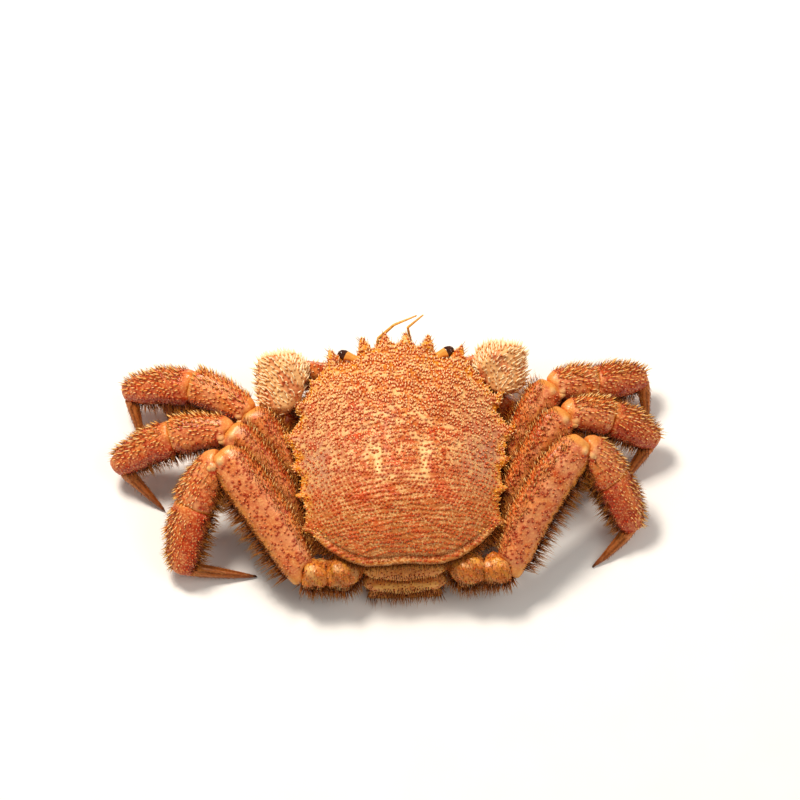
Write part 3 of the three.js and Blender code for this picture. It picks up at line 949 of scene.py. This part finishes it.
def walking_leg(leg, side):
    """The plates of one walking leg, from its root to its toe."""
    name = f"{leg}_{side}"
    root = joint_between(f"{name}_base", f"{name}_merus")
    knee = joint_between(f"{name}_merus", f"{name}_carpus")
    wrist = joint_between(f"{name}_carpus", f"{name}_propodus")
    foot = joint_between(f"{name}_propodus", f"{name}_dactylus")
    toe = corners(frame["nodes"][f"{name}_dactylus"])
    tip = toe[np.argmax(np.linalg.norm(toe - foot, axis=1))]
    face = unit(np.cross(knee - root, foot - knee))
    face = face if face[2] > 0 else -face
    return {
        "merus": Limb(f"{name}_merus", root, knee, knee - foot, face),
        "carpus": Limb(f"{name}_carpus", knee, wrist, knee - root, face),
        "propodus": Limb(f"{name}_propodus", wrist, foot, knee - root, face),
        "dactylus": Limb(f"{name}_dactylus", foot, tip, foot - wrist, face),
    }


legs = {(leg, side): walking_leg(leg, side) for leg in WALKING for side in SIDES}
print(len(legs), "walking legs")

# %% [markdown]
# ## Leg shells
#
# Thigh, shin and foot plates of the four pairs of walking legs. At each knee the thigh ends in
# two hard round knobs that the shin hinges on; they stay bare and cream coloured.

# %% Leg shells
KNOB_HEIGHT = 4.2 * MM                     # of the knobs over the middle of the knee
shells = {}
knobs = {}
for (leg, side), plates in legs.items():
    merus, carpus = plates["merus"], plates["carpus"]
    high = carpus.start + merus.face * KNOB_HEIGHT
    knobs[merus.plate] = [
        (high - merus.along * 1.2 * MM - merus.outer * 3.2 * MM, 1.5 * MM),
        (high - merus.along * 1.6 * MM + merus.outer * 2.6 * MM, 1.7 * MM),
    ]
    knobs[carpus.plate] = [(high + carpus.along * 2.2 * MM - carpus.outer * 0.6 * MM, 1.6 * MM)]
    for part, limb in plates.items():
        fine = part == "dactylus"
        piece = smooth_shell(
            limb.plate, f"{limb.plate}_shell", cell=0.5 if fine else 0.72, rounds=5 if fine else 14,
            puff=0.2 if fine else 0.45, balls=knobs.get(limb.plate, ()))
        limb.measure(piece)
        shells[limb.plate] = (piece, limb, part)
print(len(shells), "leg shells")

# %% [markdown]
# ### What grows on a leg
#
# The outer edge of the shin and foot plates is crowded with pale spines that lean towards the
# toe; the thigh has them only along its upper edge. The broad faces carry low red beads.
# Long golden bristles stand like a comb along the inner edge, and a shorter, finer pile fills the
# space between the spines.

# %% Leg spines, beads and bristles
leg_spines, leg_beads, leg_bristles, leg_pile = Crop(), Crop(), Crop(), Crop()
DOWN = np.array([0.0, 0.0, -1.0])
BARE_ROUND_KNOB = 1.35                     # nothing grows within this many radii of a knob


def bare_of_knobs(places, plate):
    """True where a place is away from the knobs of its plate."""
    clear = np.ones(len(places), bool)
    for centre, radius in knobs.get(plate, ()):
        clear &= np.linalg.norm(places - centre, axis=1) > radius * BARE_ROUND_KNOB
    return clear


def leg_region(limb, part):
    """Tests for the places on a leg plate where each kind of growth stands."""
    spiny_from = {"merus": 0.66, "carpus": -0.12, "propodus": -0.05}[part]
    first, last = {"merus": (0.04, 0.95), "carpus": (0.05, 0.97), "propodus": (0.08, 1.0)}[part]

    def spine(places, facing):
        t, outer, _ = limb.place(places)
        ragged = outer + 0.16 * uneven(places, 6)
        return (ragged > spiny_from) & (t > first) & (t < last) & bare_of_knobs(places, limb.plate)

    def bead(places, facing):
        t, outer, face = limb.place(places)
        ragged = outer + 0.16 * uneven(places, 6)
        middle = (ragged < spiny_from) & (outer > -0.86)
        return middle & (t > first) & (t < last) & (face > -0.5) & bare_of_knobs(places, limb.plate)

    def bristle(places, facing):
        t, outer, face = limb.place(places)
        ragged = outer + 0.12 * uneven(places, 4)
        return (ragged < -0.7) & (t > 0.03) & (t < 0.97) & (face > -0.75)

    def pile(places, facing):
        t, outer, _ = limb.place(places)
        return (outer > 0.5) & (t > 0.03) & (t < 1.0) & bare_of_knobs(places, limb.plate)

    return spine, bead, bristle, pile


for plate, (piece, limb, part) in shells.items():
    if part == "dactylus":
        continue
    spine, bead, bristle, pile = leg_region(limb, part)
    stout = 0.72 if part == "merus" else 1.0

    roots, facing = scatter(piece, 1.55, spine)
    _, outer, _ = limb.place(roots)
    count = len(roots)
    size = (1.25 + 1.1 * ramp(outer, 0.0, 0.8)) * stout * between(0.6, 1.45, count)
    aim = facing * 0.7 + limb.along * 0.9 + limb.outer * 0.15 + jitter(count, 0.13)
    girth = (0.26 + 0.08 * size) * between(0.85, 1.15, count)
    leg_spines.add(roots, facing, aim, size + 0.25, girth, sunk=0.25, bend=facing * 0.12,
                   tint=between(0, 1, count))
    spine_roots = roots

    roots, facing = scatter(piece, 1.25, bead)
    chosen = rng.uniform(0, 1, len(roots)) < 0.62 + 0.25 * uneven(roots, 7)
    roots, facing = roots[chosen], facing[chosen]
    count = len(roots)
    aim = facing + limb.along * 0.9 + jitter(count, 0.15)
    girth = between(0.24, 0.54, count)
    leg_beads.add(roots, facing, aim, 0.3 + girth * 1.6, girth, sunk=0.2, tint=between(0, 0.5, count))
    paint_seats(piece, np.concatenate([spine_roots, roots]), size=0.74)

    roots, facing = scatter(piece, 0.66 if part == "merus" else 0.72, bristle)
    count = len(roots)
    size = (7.6 if part == "merus" else 5.0) * between(0.45, 1.2, count)
    aim = tufted(roots, facing * 0.6 - limb.outer * 0.9 + limb.along * 0.15 + jitter(count, 0.2), 2.4, 0.6)
    leg_bristles.add(roots, facing, aim, size, between(0.13, 0.2, count), sunk=0.2,
                     bend=DOWN * 0.12 + jitter(count, 0.08), tint=between(0, 0.5, count))

    roots, facing = scatter(piece, 0.9, pile)
    count = len(roots)
    size = (4.4 if part == "merus" else 3.0) * between(0.6, 1.3, count)
    aim = tufted(roots, facing * 0.7 + limb.along * 0.6 + limb.outer * 0.5 + jitter(count, 0.25), 2.0, 0.4)
    leg_pile.add(roots, facing, aim, size, between(0.08, 0.13, count), sunk=0.2,
                 bend=limb.along * 0.15 + jitter(count, 0.08), tint=between(0, 0.6, count))

leg_spines.grow("leg_spines", "limb_shell", SPINE, 5, spine_finish)
leg_beads.grow("leg_beads", "limb_shell", GRAIN, 5, bead_finish)
leg_bristles.grow("leg_bristles", "hair", BRISTLE, 3, bristle_finish)
leg_pile.grow("leg_pile", "hair", BRISTLE, 3, bristle_finish)

# %% [markdown]
# ### Boiled leg shell
#
# The same waxy shell as the back, redder where it is thick. The thigh is a calm salmon with small
# red dots, the shin and foot plates go from a cream edge to a deep red orange underneath, and
# every rim at a joint is pale, because the pigment is thin there.

# %% Leg material


def boiled_limb():
    material, shader, add = new_material("boiled leg shell")
    place = add("TexCoord", "Object")
    clouds = add("TexNoise", 0, {"Vector": place, "Scale": per_size(6.0), "Detail": 5.0})
    blots = add("TexNoise", 0, {"Vector": place, "Scale": per_size(3.2), "Detail": 4.0})
    flecks = add("TexNoise", 0, {"Vector": place, "Scale": per_size(0.8), "Detail": 4.0})
    seat = add("Attribute", "Fac", attribute_name="seat")

    share = add("MapRange", 0, {"Value": clouds, "From Min": 0.4, "From Max": 0.6})
    colour = add("Mix", 2, {0: share, 6: "#c84c10", 7: "#e78a42"}, data_type="RGBA")
    for region, tone in (("ruddy", "#b33507"), ("blush", "#e69b6c")):
        share = add("Attribute", "Fac", attribute_name=region)
        colour = add("Mix", 2, {0: share, 6: colour, 7: tone}, data_type="RGBA")

    share = add("MapRange", 0, {"Value": flecks, "From Min": 0.5, "From Max": 0.64, "To Max": 0.7})
    colour = add("Mix", 2, {0: share, 6: colour, 7: "#f2b474"}, data_type="RGBA")
    stain = add("MapRange", 0, {"Value": blots, "From Min": 0.45, "From Max": 0.75, "To Max": 0.5})
    stain = add("Math", 0, {0: seat, 1: stain}, operation="ADD")
    share = add("MapRange", 0, {"Value": stain, "From Min": 0.35, "From Max": 0.85, "To Max": 0.9})
    colour = add("Mix", 2, {0: share, 6: colour, 7: "#a02c08"}, data_type="RGBA")

    for region, tone in (("pale", "#e7a343"), ("knob", "#f2cf92"), ("shade", "#783a10")):
        share = add("Attribute", "Fac", attribute_name=region)
        colour = add("Mix", 2, {0: share, 6: colour, 7: tone}, data_type="RGBA")
    height = add("Math", 0, {0: flecks, 1: seat}, operation="ADD")
    finish_shader(material, shader, colour, height, 0.2, 0.34, coat=0.15)
    return material


limb_finish = boiled_limb()
for plate, (piece, limb, part) in shells.items():
    if part == "dactylus":
        continue
    points = corners(piece)
    t, outer, _ = limb.place(points)
    swell = uneven(points, 10)
    ruddy = {
        "merus": 0.15,
        "carpus": 0.08 + 0.5 * ramp(-outer, 0.0, 0.8),
        "propodus": 0.45 + 0.5 * ramp(-outer, -0.3, 0.4),
    }[part] + 0.3 * swell
    pale = ramp(t, 0.975, 1.0) * (0.0 if part == "propodus" else 0.55)
    pale += 0.35 * ramp(-t, -0.05, 0.02)
    knob = np.zeros(len(points))
    for centre, radius in knobs.get(plate, ()):
        gap = np.linalg.norm(points - centre, axis=1) / radius
        knob += 1.1 * np.exp(-(gap / 1.05) ** 6)
        ruddy = ruddy + 0.9 * np.exp(-((gap - 1.7) / 0.45) ** 2)
    paint(piece, "knob", knob)
    if part == "merus":
        pale += 0.6 * ramp(-outer, 0.35, 0.8) * ramp(1.3 + outer, 0.2, 0.6)
    paint(piece, "ruddy", ruddy)
    paint(piece, "pale", pale)
    blushing = {"merus": 1.0, "carpus": 0.85, "propodus": 0.3}[part]
    paint(piece, "blush", blushing * (0.55 + 0.5 * swell) * ramp(0.85 - np.abs(outer - 0.2), 0.0, 0.5))
    paint(piece, "shade", ramp(-outer, 0.8, 1.0) * 0.8)
    put_corners(piece, points + outward(piece) * (0.22 * uneven(points, 12))[:, None] * MM)
    piece.data.materials.append(limb_finish)
print("leg shells finished")

# %% [markdown]
# ## Toes
#
# The last piece of a walking leg is a slender curved claw of bare horn, grooved along its length,
# orange brown at the root and nearly black at the point. Short hairs grow on its first two thirds.

# %% Toes


def toe_horn():
    material, shader, add = new_material("toe horn")
    place = add("TexCoord", "Object")
    streaks = add("TexNoise", 0, {"Vector": place, "Scale": per_size(1.2), "Detail": 4.0})
    along = add("Attribute", "Fac", attribute_name="along")
    groove = add("Attribute", "Fac", attribute_name="groove")
    share = add("MapRange", 0, {"Value": along, "From Min": 0.1, "From Max": 0.9})
    colour = add("Mix", 2, {0: share, 6: "#c9783a", 7: "#8a4a22"}, data_type="RGBA")
    share = add("MapRange", 0, {"Value": along, "From Min": 0.88, "From Max": 1.0})
    colour = add("Mix", 2, {0: share, 6: colour, 7: "#2f1a10"}, data_type="RGBA")
    share = add("MapRange", 0, {"Value": groove, "From Min": 0.5, "From Max": 1.0, "To Max": 0.65})
    colour = add("Mix", 2, {0: share, 6: colour, 7: "#5f2f14"}, data_type="RGBA")
    share = add("MapRange", 0, {"Value": streaks, "From Min": 0.5, "From Max": 0.75, "To Max": 0.5})
    colour = add("Mix", 2, {0: share, 6: colour, 7: "#d99a5c"}, data_type="RGBA")
    finish_shader(material, shader, colour, streaks, 0.06, 0.34, coat=0.2)
    return material


toe_finish = toe_horn()
toe_hairs = Crop()
GROOVES = 6
for plate, (piece, limb, part) in shells.items():
    if part != "dactylus":
        continue
    points = corners(piece)
    t, outer, face = limb.place(points)
    groove = 0.5 - 0.5 * np.cos(np.arctan2(face, outer) * GROOVES)
    groove *= ramp(t, 0.08, 0.2) * ramp(1 - t, 0.12, 0.3)
    paint(piece, "along", t)
    paint(piece, "groove", groove)
    put_corners(piece, points - outward(piece) * (0.28 * groove)[:, None] * MM)
    piece.data.materials.append(toe_finish)
    roots, facing = scatter(piece, 1.0, lambda p, n: limb.place(p)[0] < 0.66)
    count = len(roots)
    aim = facing * 0.6 + limb.along + jitter(count, 0.2)
    toe_hairs.add(roots, facing, aim, between(0.9, 2.1, count), between(0.07, 0.11, count), sunk=0.1,
                  bend=jitter(count, 0.1), tint=between(0, 0.6, count))
toe_hairs.grow("toe_hairs", "hair", BRISTLE, 3, bristle_finish)

# %% [markdown]
# ## Claws
#
# Beside the snout the wrist of each claw stands up as a round lump, thick with cream spikes like a
# chestnut. The arm below it is smooth and orange at the hinge. The hand is folded in front of the
# mouth, with dark fingertips.

# %% Claws
claw_spikes, claw_hairs, body_beads = Crop(), Crop(), Crop()


def colour_as_limb(piece, ruddy=0.2, blush=0.0, pale=0.0, shade=0.0, knob=0.0):
    """Gives a piece the leg material and says how strong each of its colours is."""
    points = corners(piece)
    paint(piece, "ruddy", ruddy + 0.25 * uneven(points, 9))
    for name, strength in (("blush", blush), ("pale", pale), ("shade", shade), ("knob", knob)):
        paint(piece, name, np.broadcast_to(strength, len(points)))
    piece.data.materials.append(limb_finish)


for side in SIDES:
    sign = -1 if side == "left" else 1
    carpus = smooth_shell(f"claw_{side}_carpus", f"claw_{side}_carpus_shell", cell=0.7)
    elbow = joint_between(f"claw_{side}_merus", f"claw_{side}_carpus")
    roots, facing = scatter(carpus, 1.45, lambda p, n: np.linalg.norm(p - elbow, axis=1) > 6 * MM)
    count = len(roots)
    aim = facing * 0.6 + np.array([sign * 0.35, 0.65, 0.1]) + jitter(count, 0.16)
    claw_spikes.add(roots, facing, aim, between(1.8, 3.8, count), between(0.46, 0.66, count), sunk=0.3,
                    bend=facing * 0.1, tint=between(0.5, 1, count))
    paint_seats(carpus, roots, size=0.7)
    near_elbow = np.exp(-(np.linalg.norm(corners(carpus) - elbow, axis=1) / MM / 7) ** 2)
    patches = ramp(uneven(corners(carpus), 12), 0.1, 0.5)
    colour_as_limb(
        carpus, ruddy=0.1 + 0.6 * patches + near_elbow,
        blush=0.6 * (1 - near_elbow), knob=(0.55 - 0.5 * patches) * (1 - near_elbow))

    merus = smooth_shell(f"claw_{side}_merus", f"claw_{side}_merus_shell")
    paint_seats(merus, scatter(merus, 2.2)[0], size=0.7)
    colour_as_limb(merus, ruddy=0.35, shade=0.15)
    roots, facing = scatter(merus, 1.5, lambda p, n: np.linalg.norm(p - elbow, axis=1) > 7 * MM)
    count = len(roots)
    aim = facing + jitter(count, 0.3)
    claw_hairs.add(roots, facing, aim, between(1.5, 4.0, count), between(0.1, 0.16, count),
                   bend=DOWN * 0.2 + jitter(count, 0.1), tint=between(0, 1, count))

    palm = smooth_shell(f"claw_{side}_palm", f"claw_{side}_palm_shell", rounds=8)
    roots, facing = scatter(palm, 2.0)
    count = len(roots)
    aim = facing + [sign * -0.3, 0.2, 0] + jitter(count, 0.15)
    claw_spikes.add(roots, facing, aim, between(0.8, 1.9, count), between(0.35, 0.5, count), sunk=0.2,
                    tint=between(0, 0.6, count))
    paint_seats(palm, roots, size=0.8)
    colour_as_limb(palm, ruddy=0.3)

    finger = smooth_shell(f"claw_{side}_finger", f"claw_{side}_finger_shell", cell=0.5, rounds=5, puff=0.2)
    across = np.abs(corners(finger)[:, 0] - BODY[0])
    paint(finger, "along", 1 - ramp(across / MM, 2, 22))
    paint(finger, "groove", np.zeros(len(across)))
    finger.data.materials.append(toe_finish)
claw_finish = tipped_material(
    "cream spine chitin", "#c85a20", "#e39450", "#f9d8a0", "#fdebc6", "#f2c480", turn=(0.0, 0.2, 0.5))
claw_spikes.grow("claw_spikes", "limb_shell", SPINE, 5, claw_finish)
claw_hairs.grow("claw_hairs", "hair", BRISTLE, 3, bristle_finish)

# %% [markdown]
# ## Leg bases, coxae and the folded tail
#
# Behind the carapace show two bands of the folded tail and, beside them, the round coxae of the
# last legs. They are beaded like the back, with yellow knobs on the coxae, and a brown fringe
# hangs from their lower edges.

# %% Bases and tail
body_hairs, fringe = Crop(), Crop()
BACKWARD = np.array([0.0, -1.0, 0.0])
COXA_KNOBS = [
    # outward, forward and up in millimetres, radius
    (5.5, 2.6, -1.0, 1.9), (1.6, 1.4, -2.0, 1.6), (-2.4, 1.6, -1.6, 1.5),
]

for plate in [n for n in frame["nodes"] if n.endswith(("_base", "_coxa"))]:
    low, high = (np.array(corner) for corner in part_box(plate))
    centre = (low + high) / 2
    sign = math.copysign(1, centre[0] - BODY[0])
    balls = []
    if plate.endswith("_coxa"):
        start = np.array([centre[0], low[1], centre[2]])
        balls = [
            (start + np.array([sign * outward_by, forward_by, up_by]) * MM, radius * MM)
            for outward_by, forward_by, up_by, radius in COXA_KNOBS
        ]
    knobs[plate] = balls
    piece = smooth_shell(plate, f"{plate}_shell", cell=0.7, rounds=10, balls=balls)
    points = corners(piece)
    lumps = 0.9 * uneven(points, 10) + 0.5 * uneven(points + 0.01, 5.5)
    put_corners(piece, points + outward(piece) * lumps[:, None] * MM)
    points = corners(piece)
    pale = 0.35 + 0.6 * ramp(uneven(points, 8), 0.0, 0.5)
    knob = 0.4 * ramp(uneven(points + 0.005, 11), 0.25, 0.6)
    for at, radius in balls:
        knob = knob + 1.2 * np.exp(-(np.linalg.norm(points - at, axis=1) / radius / 1.2) ** 4)
    roots, facing = scatter(piece, 1.8, lambda p, n: (n[:, 2] > -0.2) & bare_of_knobs(p, plate))
    count = len(roots)
    aim = facing + BACKWARD * 0.3 + jitter(count, 0.12)
    body_beads.add(roots, facing, aim, between(0.5, 1.3, count), between(0.3, 0.56, count), sunk=0.2,
                   tint=between(0, 0.4, count))
    paint_seats(piece, roots, size=0.62)
    shade = 0.15 + 0.5 * ramp(-points[:, 2], -centre[2], -low[2])
    colour_as_limb(piece, ruddy=0.15, pale=pale, knob=knob, shade=shade)
    if plate.startswith("leg_5"):
        roots, facing = scatter(piece, 1.15, lambda p, n: (n[:, 2] > 0.0) & bare_of_knobs(p, plate))
        count = len(roots)
        aim = facing * 0.6 + BACKWARD * 0.8 + jitter(count, 0.25)
        fringe.add(roots, facing, aim, between(1.2, 2.8, count), between(0.08, 0.13, count),
                   bend=jitter(count, 0.1), tint=between(0, 0.5, count))
        fringe_top = centre[2] + 1.5 * MM
        roots, facing = scatter(piece, 0.75, lambda p, n: (p[:, 2] < fringe_top) & (n[:, 1] < 0.0))
        count = len(roots)
        aim = tufted(roots, facing * 0.5 + BACKWARD * 0.7 + DOWN * 0.2 + jitter(count, 0.22), 2.0, 0.5)
        fringe.add(roots, facing, aim, between(2.8, 6.4, count), between(0.12, 0.19, count),
                   bend=DOWN * 0.2 + jitter(count, 0.08), tint=between(0, 1, count))
    else:
        roots, facing = scatter(piece, 1.1, lambda p, n: n[:, 2] > -0.1)
        count = len(roots)
        aim = facing + jitter(count, 0.3)
        body_hairs.add(roots, facing, aim, between(2.5, 5.0, count), between(0.1, 0.16, count),
                       bend=jitter(count, 0.12), tint=between(0.2, 1, count))

RIDGE_STEP = 3.6                           # from ridge to ridge on the tail, in millimetres
for plate in ("abdomen_band_1", "abdomen_band_2", "abdomen_flap"):
    low, high = (np.array(corner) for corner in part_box(plate))
    piece = smooth_shell(plate, f"{plate}_shell", cell=0.65, rounds=8)
    points = corners(piece)
    slant = (points[:, 1] - 0.6 * points[:, 2]) / MM
    ridge = np.sin(slant * 2 * math.pi / RIDGE_STEP + 0.8 * uneven(points, 9))
    ridge = 0.7 * ridge + 0.5 * uneven(points, 5)
    put_corners(piece, points + outward(piece) * (0.42 * ridge)[:, None] * MM)
    roots, facing = scatter(piece, 1.3, lambda p, n: n[:, 2] > -0.5)
    count = len(roots)
    aim = facing * 0.8 + BACKWARD * 0.6 + jitter(count, 0.12)
    body_beads.add(roots, facing, aim, between(0.5, 1.1, count), between(0.28, 0.46, count), sunk=0.15,
                   tint=between(0.0, 0.7, count))
    paint_seats(piece, roots, size=0.5)
    colour_as_limb(
        piece, ruddy=0.2, blush=0.5, pale=0.4 + 0.5 * ramp(ridge, -0.3, 0.8),
        knob=0.25 * ramp(ridge, 0.0, 1))
    behind = low[1] + (0.4 if plate == "abdomen_flap" else 0.14) * (high[1] - low[1])
    roots, facing = scatter(piece, 0.9, lambda p, n: (p[:, 1] < behind) & (n[:, 1] < 0.1))
    count = len(roots)
    long = 0.5 if plate == "abdomen_band_1" else 1.0
    aim = tufted(roots, facing * 0.5 + BACKWARD * 0.8 + jitter(count, 0.2), 2.0, 0.5)
    fringe.add(roots, facing, aim, between(2.8, 6.2, count) * long, between(0.12, 0.19, count),
               bend=DOWN * 0.25 + jitter(count, 0.08), tint=between(0, 1, count))

body_beads.grow("body_beads", "limb_shell", GRAIN, 5, bead_finish)
fringe.grow("rear_fringe", "hair", BRISTLE, 3, bristle_finish)

# %% [markdown]
# ## Body sides
#
# The body under the carapace is seen only in the gaps beside it, and there it is covered with
# dark brown hair. More hair grows out from under the shell's edge all the way round.

# %% Body sides
thorax = smooth_shell("thorax", "thorax_shell", cell=0.9, rounds=8)
paint_seats(thorax, scatter(thorax, 2.6)[0], size=0.8)
rise = corners(thorax)[:, 2] / MM
colour_as_limb(thorax, pale=0.5 * ramp(-rise, -9, -3), shade=0.75 * ramp(rise, 8, 14))


def flank(places, facing):
    return (places[:, 2] > 9 * MM) & (facing[:, 2] < 0.75)


roots, facing = scatter(thorax, 1.05, flank)
count = len(roots)
long = 1 + 0.6 * ramp(-plan_of(roots)[1], 24, 38)
aim = facing + [0, 0, 0.5] + jitter(count, 0.25)
body_hairs.add(roots, facing, aim, between(3.0, 6.0, count) * long, between(0.1, 0.17, count),
               bend=jitter(count, 0.12), tint=between(0.4, 1, count))


def under_edge(places, facing):
    return (facing[:, 2] < 0.05) & (edge_share(places) > 0.9)


def hem_edge(places, facing):
    return (facing[:, 2] < 0.35) & (facing[:, 2] > -0.5) & (plan_of(places)[1] < -34)


roots, facing = scatter(carapace, 0.62, hem_edge)
count = len(roots)
aim = facing * 0.8 + [0, -0.3, -0.25] + jitter(count, 0.14)
body_hairs.add(roots, facing, aim, between(1.0, 2.1, count), between(0.08, 0.13, count),
               bend=DOWN * 0.2, tint=between(0, 0.7, count))

roots, facing = scatter(carapace, 0.95, under_edge)
_, uy = plan_of(roots)
count = len(roots)
size = between(1.6, 3.6, count) * (1 + 0.7 * ramp(-uy, 18, 34))
aim = facing * 0.4 + away_from_middle(roots) * 0.9 + jitter(count, 0.2)
body_hairs.add(roots, facing, aim, size, between(0.09, 0.15, count),
               bend=DOWN * 0.15 + jitter(count, 0.1), tint=between(0, 1, count))
body_hairs.grow("body_hairs", "hair", BRISTLE, 3, bristle_finish)

mouth = smooth_shell("mouth_plates", "mouth_plates_shell", cell=0.6, rounds=8)
points = corners(mouth)
mx, _ = plan_of(points)
cleft = np.exp(-(mx / 0.9) ** 2) + 0.7 * np.exp(-((np.abs(mx) - 6.5) / 0.8) ** 2)
put_corners(mouth, points - outward(mouth) * (1.1 * cleft)[:, None] * MM)
roots, facing = scatter(mouth, 1.9, lambda p, n: n[:, 1] > -0.2)
count = len(roots)
mouth_crop = Crop()
aim = facing + jitter(count, 0.2)
mouth_crop.add(roots, facing, aim, between(0.5, 1.1, count), between(0.35, 0.55, count), sunk=0.2,
               tint=between(0.3, 1, count))
mouth_crop.grow("mouth_beads", "under_shell", GRAIN, 5, bead_finish)
paint_seats(mouth, roots, size=0.7)
colour_as_limb(mouth, ruddy=0.15, pale=0.25, shade=0.8 * cleft)

# %% [markdown]
# ## Eyes and feelers
#
# Each eye is a dark, wet ball on a short pale stalk that lies in its notch. The feelers are two
# thin orange whips that reach out in front of the snout.

# %% Eyes and feelers


def eye_finish():
    material, shader, add = new_material("wet dark eye on a pale stalk")
    place = add("TexCoord", "Object")
    grain = add("TexNoise", 0, {"Vector": place, "Scale": per_size(0.5), "Detail": 3.0})
    ball = add("Attribute", "Fac", attribute_name="ball")
    ball = add("MapRange", 0, {"Value": ball, "From Min": 0.4, "From Max": 0.6})
    stalk = add("Mix", 2, {0: grain, 6: "#d98528", 7: "#eeb35a"}, data_type="RGBA")
    share = add("MapRange", 0, {"Value": grain, "From Min": 0.4, "From Max": 0.7})
    iris = add("Mix", 2, {0: share, 6: "#341709", 7: "#5c2c12"}, data_type="RGBA")
    colour = add("Mix", 2, {0: ball, 6: stalk, 7: iris}, data_type="RGBA")
    material.node_tree.links.new(colour, shader.inputs["Base Color"])
    gloss = add("MapRange", 0, {"Value": ball, "To Min": 0.5, "To Max": 0.12})   # wet on the ball
    material.node_tree.links.new(gloss, shader.inputs["Roughness"])
    shader.inputs["Coat Weight"].default_value = 0.4
    shader.inputs["Coat Roughness"].default_value = 0.05
    return material


def feeler_finish():
    material, shader, add = new_material("feeler chitin")
    place = add("TexCoord", "Object")
    grain = add("TexNoise", 0, {"Vector": place, "Scale": per_size(0.7), "Detail": 3.0})
    share = add("MapRange", 0, {"Value": grain, "From Min": 0.4, "From Max": 0.6})
    colour = add("Mix", 2, {0: share, 6: "#d98a35", 7: "#f0c069"}, data_type="RGBA")
    finish_shader(material, shader, colour, grain, 0.05, 0.4)
    return material


eye_look = eye_finish()
feeler_look = feeler_finish()
EYE_BALL = np.array([22.8, 43.8, 33.8]) * MM      # across, forward and up from the body's middle
EYE_RADIUS = 1.8 * MM
for side in SIDES:
    mirror = np.array([-1 if side == "left" else 1, 1, 1])
    centre = BODY + EYE_BALL * mirror
    eye = smooth_shell(
        f"eye_{side}", f"eye_{side}", cell=0.28, rounds=4, puff=0.1, balls=[(centre, EYE_RADIUS)])
    outer_end = unit(np.array([mirror[0] * 0.87, 0.5, 0.0]))
    past_stalk = (corners(eye) - centre) @ outer_end / MM
    paint(eye, "ball", ramp(past_stalk, -1.2, -0.8))
    eye.data.materials.append(eye_look)
    feeler = smooth_shell(f"feeler_{side}", f"feeler_{side}", cell=0.25, rounds=3, puff=0.12)
    feeler.data.materials.append(feeler_look)

# %% [markdown]
# ## Finish
#
# The number of faces in all that was made is printed.

# %% Finish
faces = sum(len(piece.data.polygons) for piece in bpy.data.objects if piece.type == "MESH")
print("faces in all:", faces)
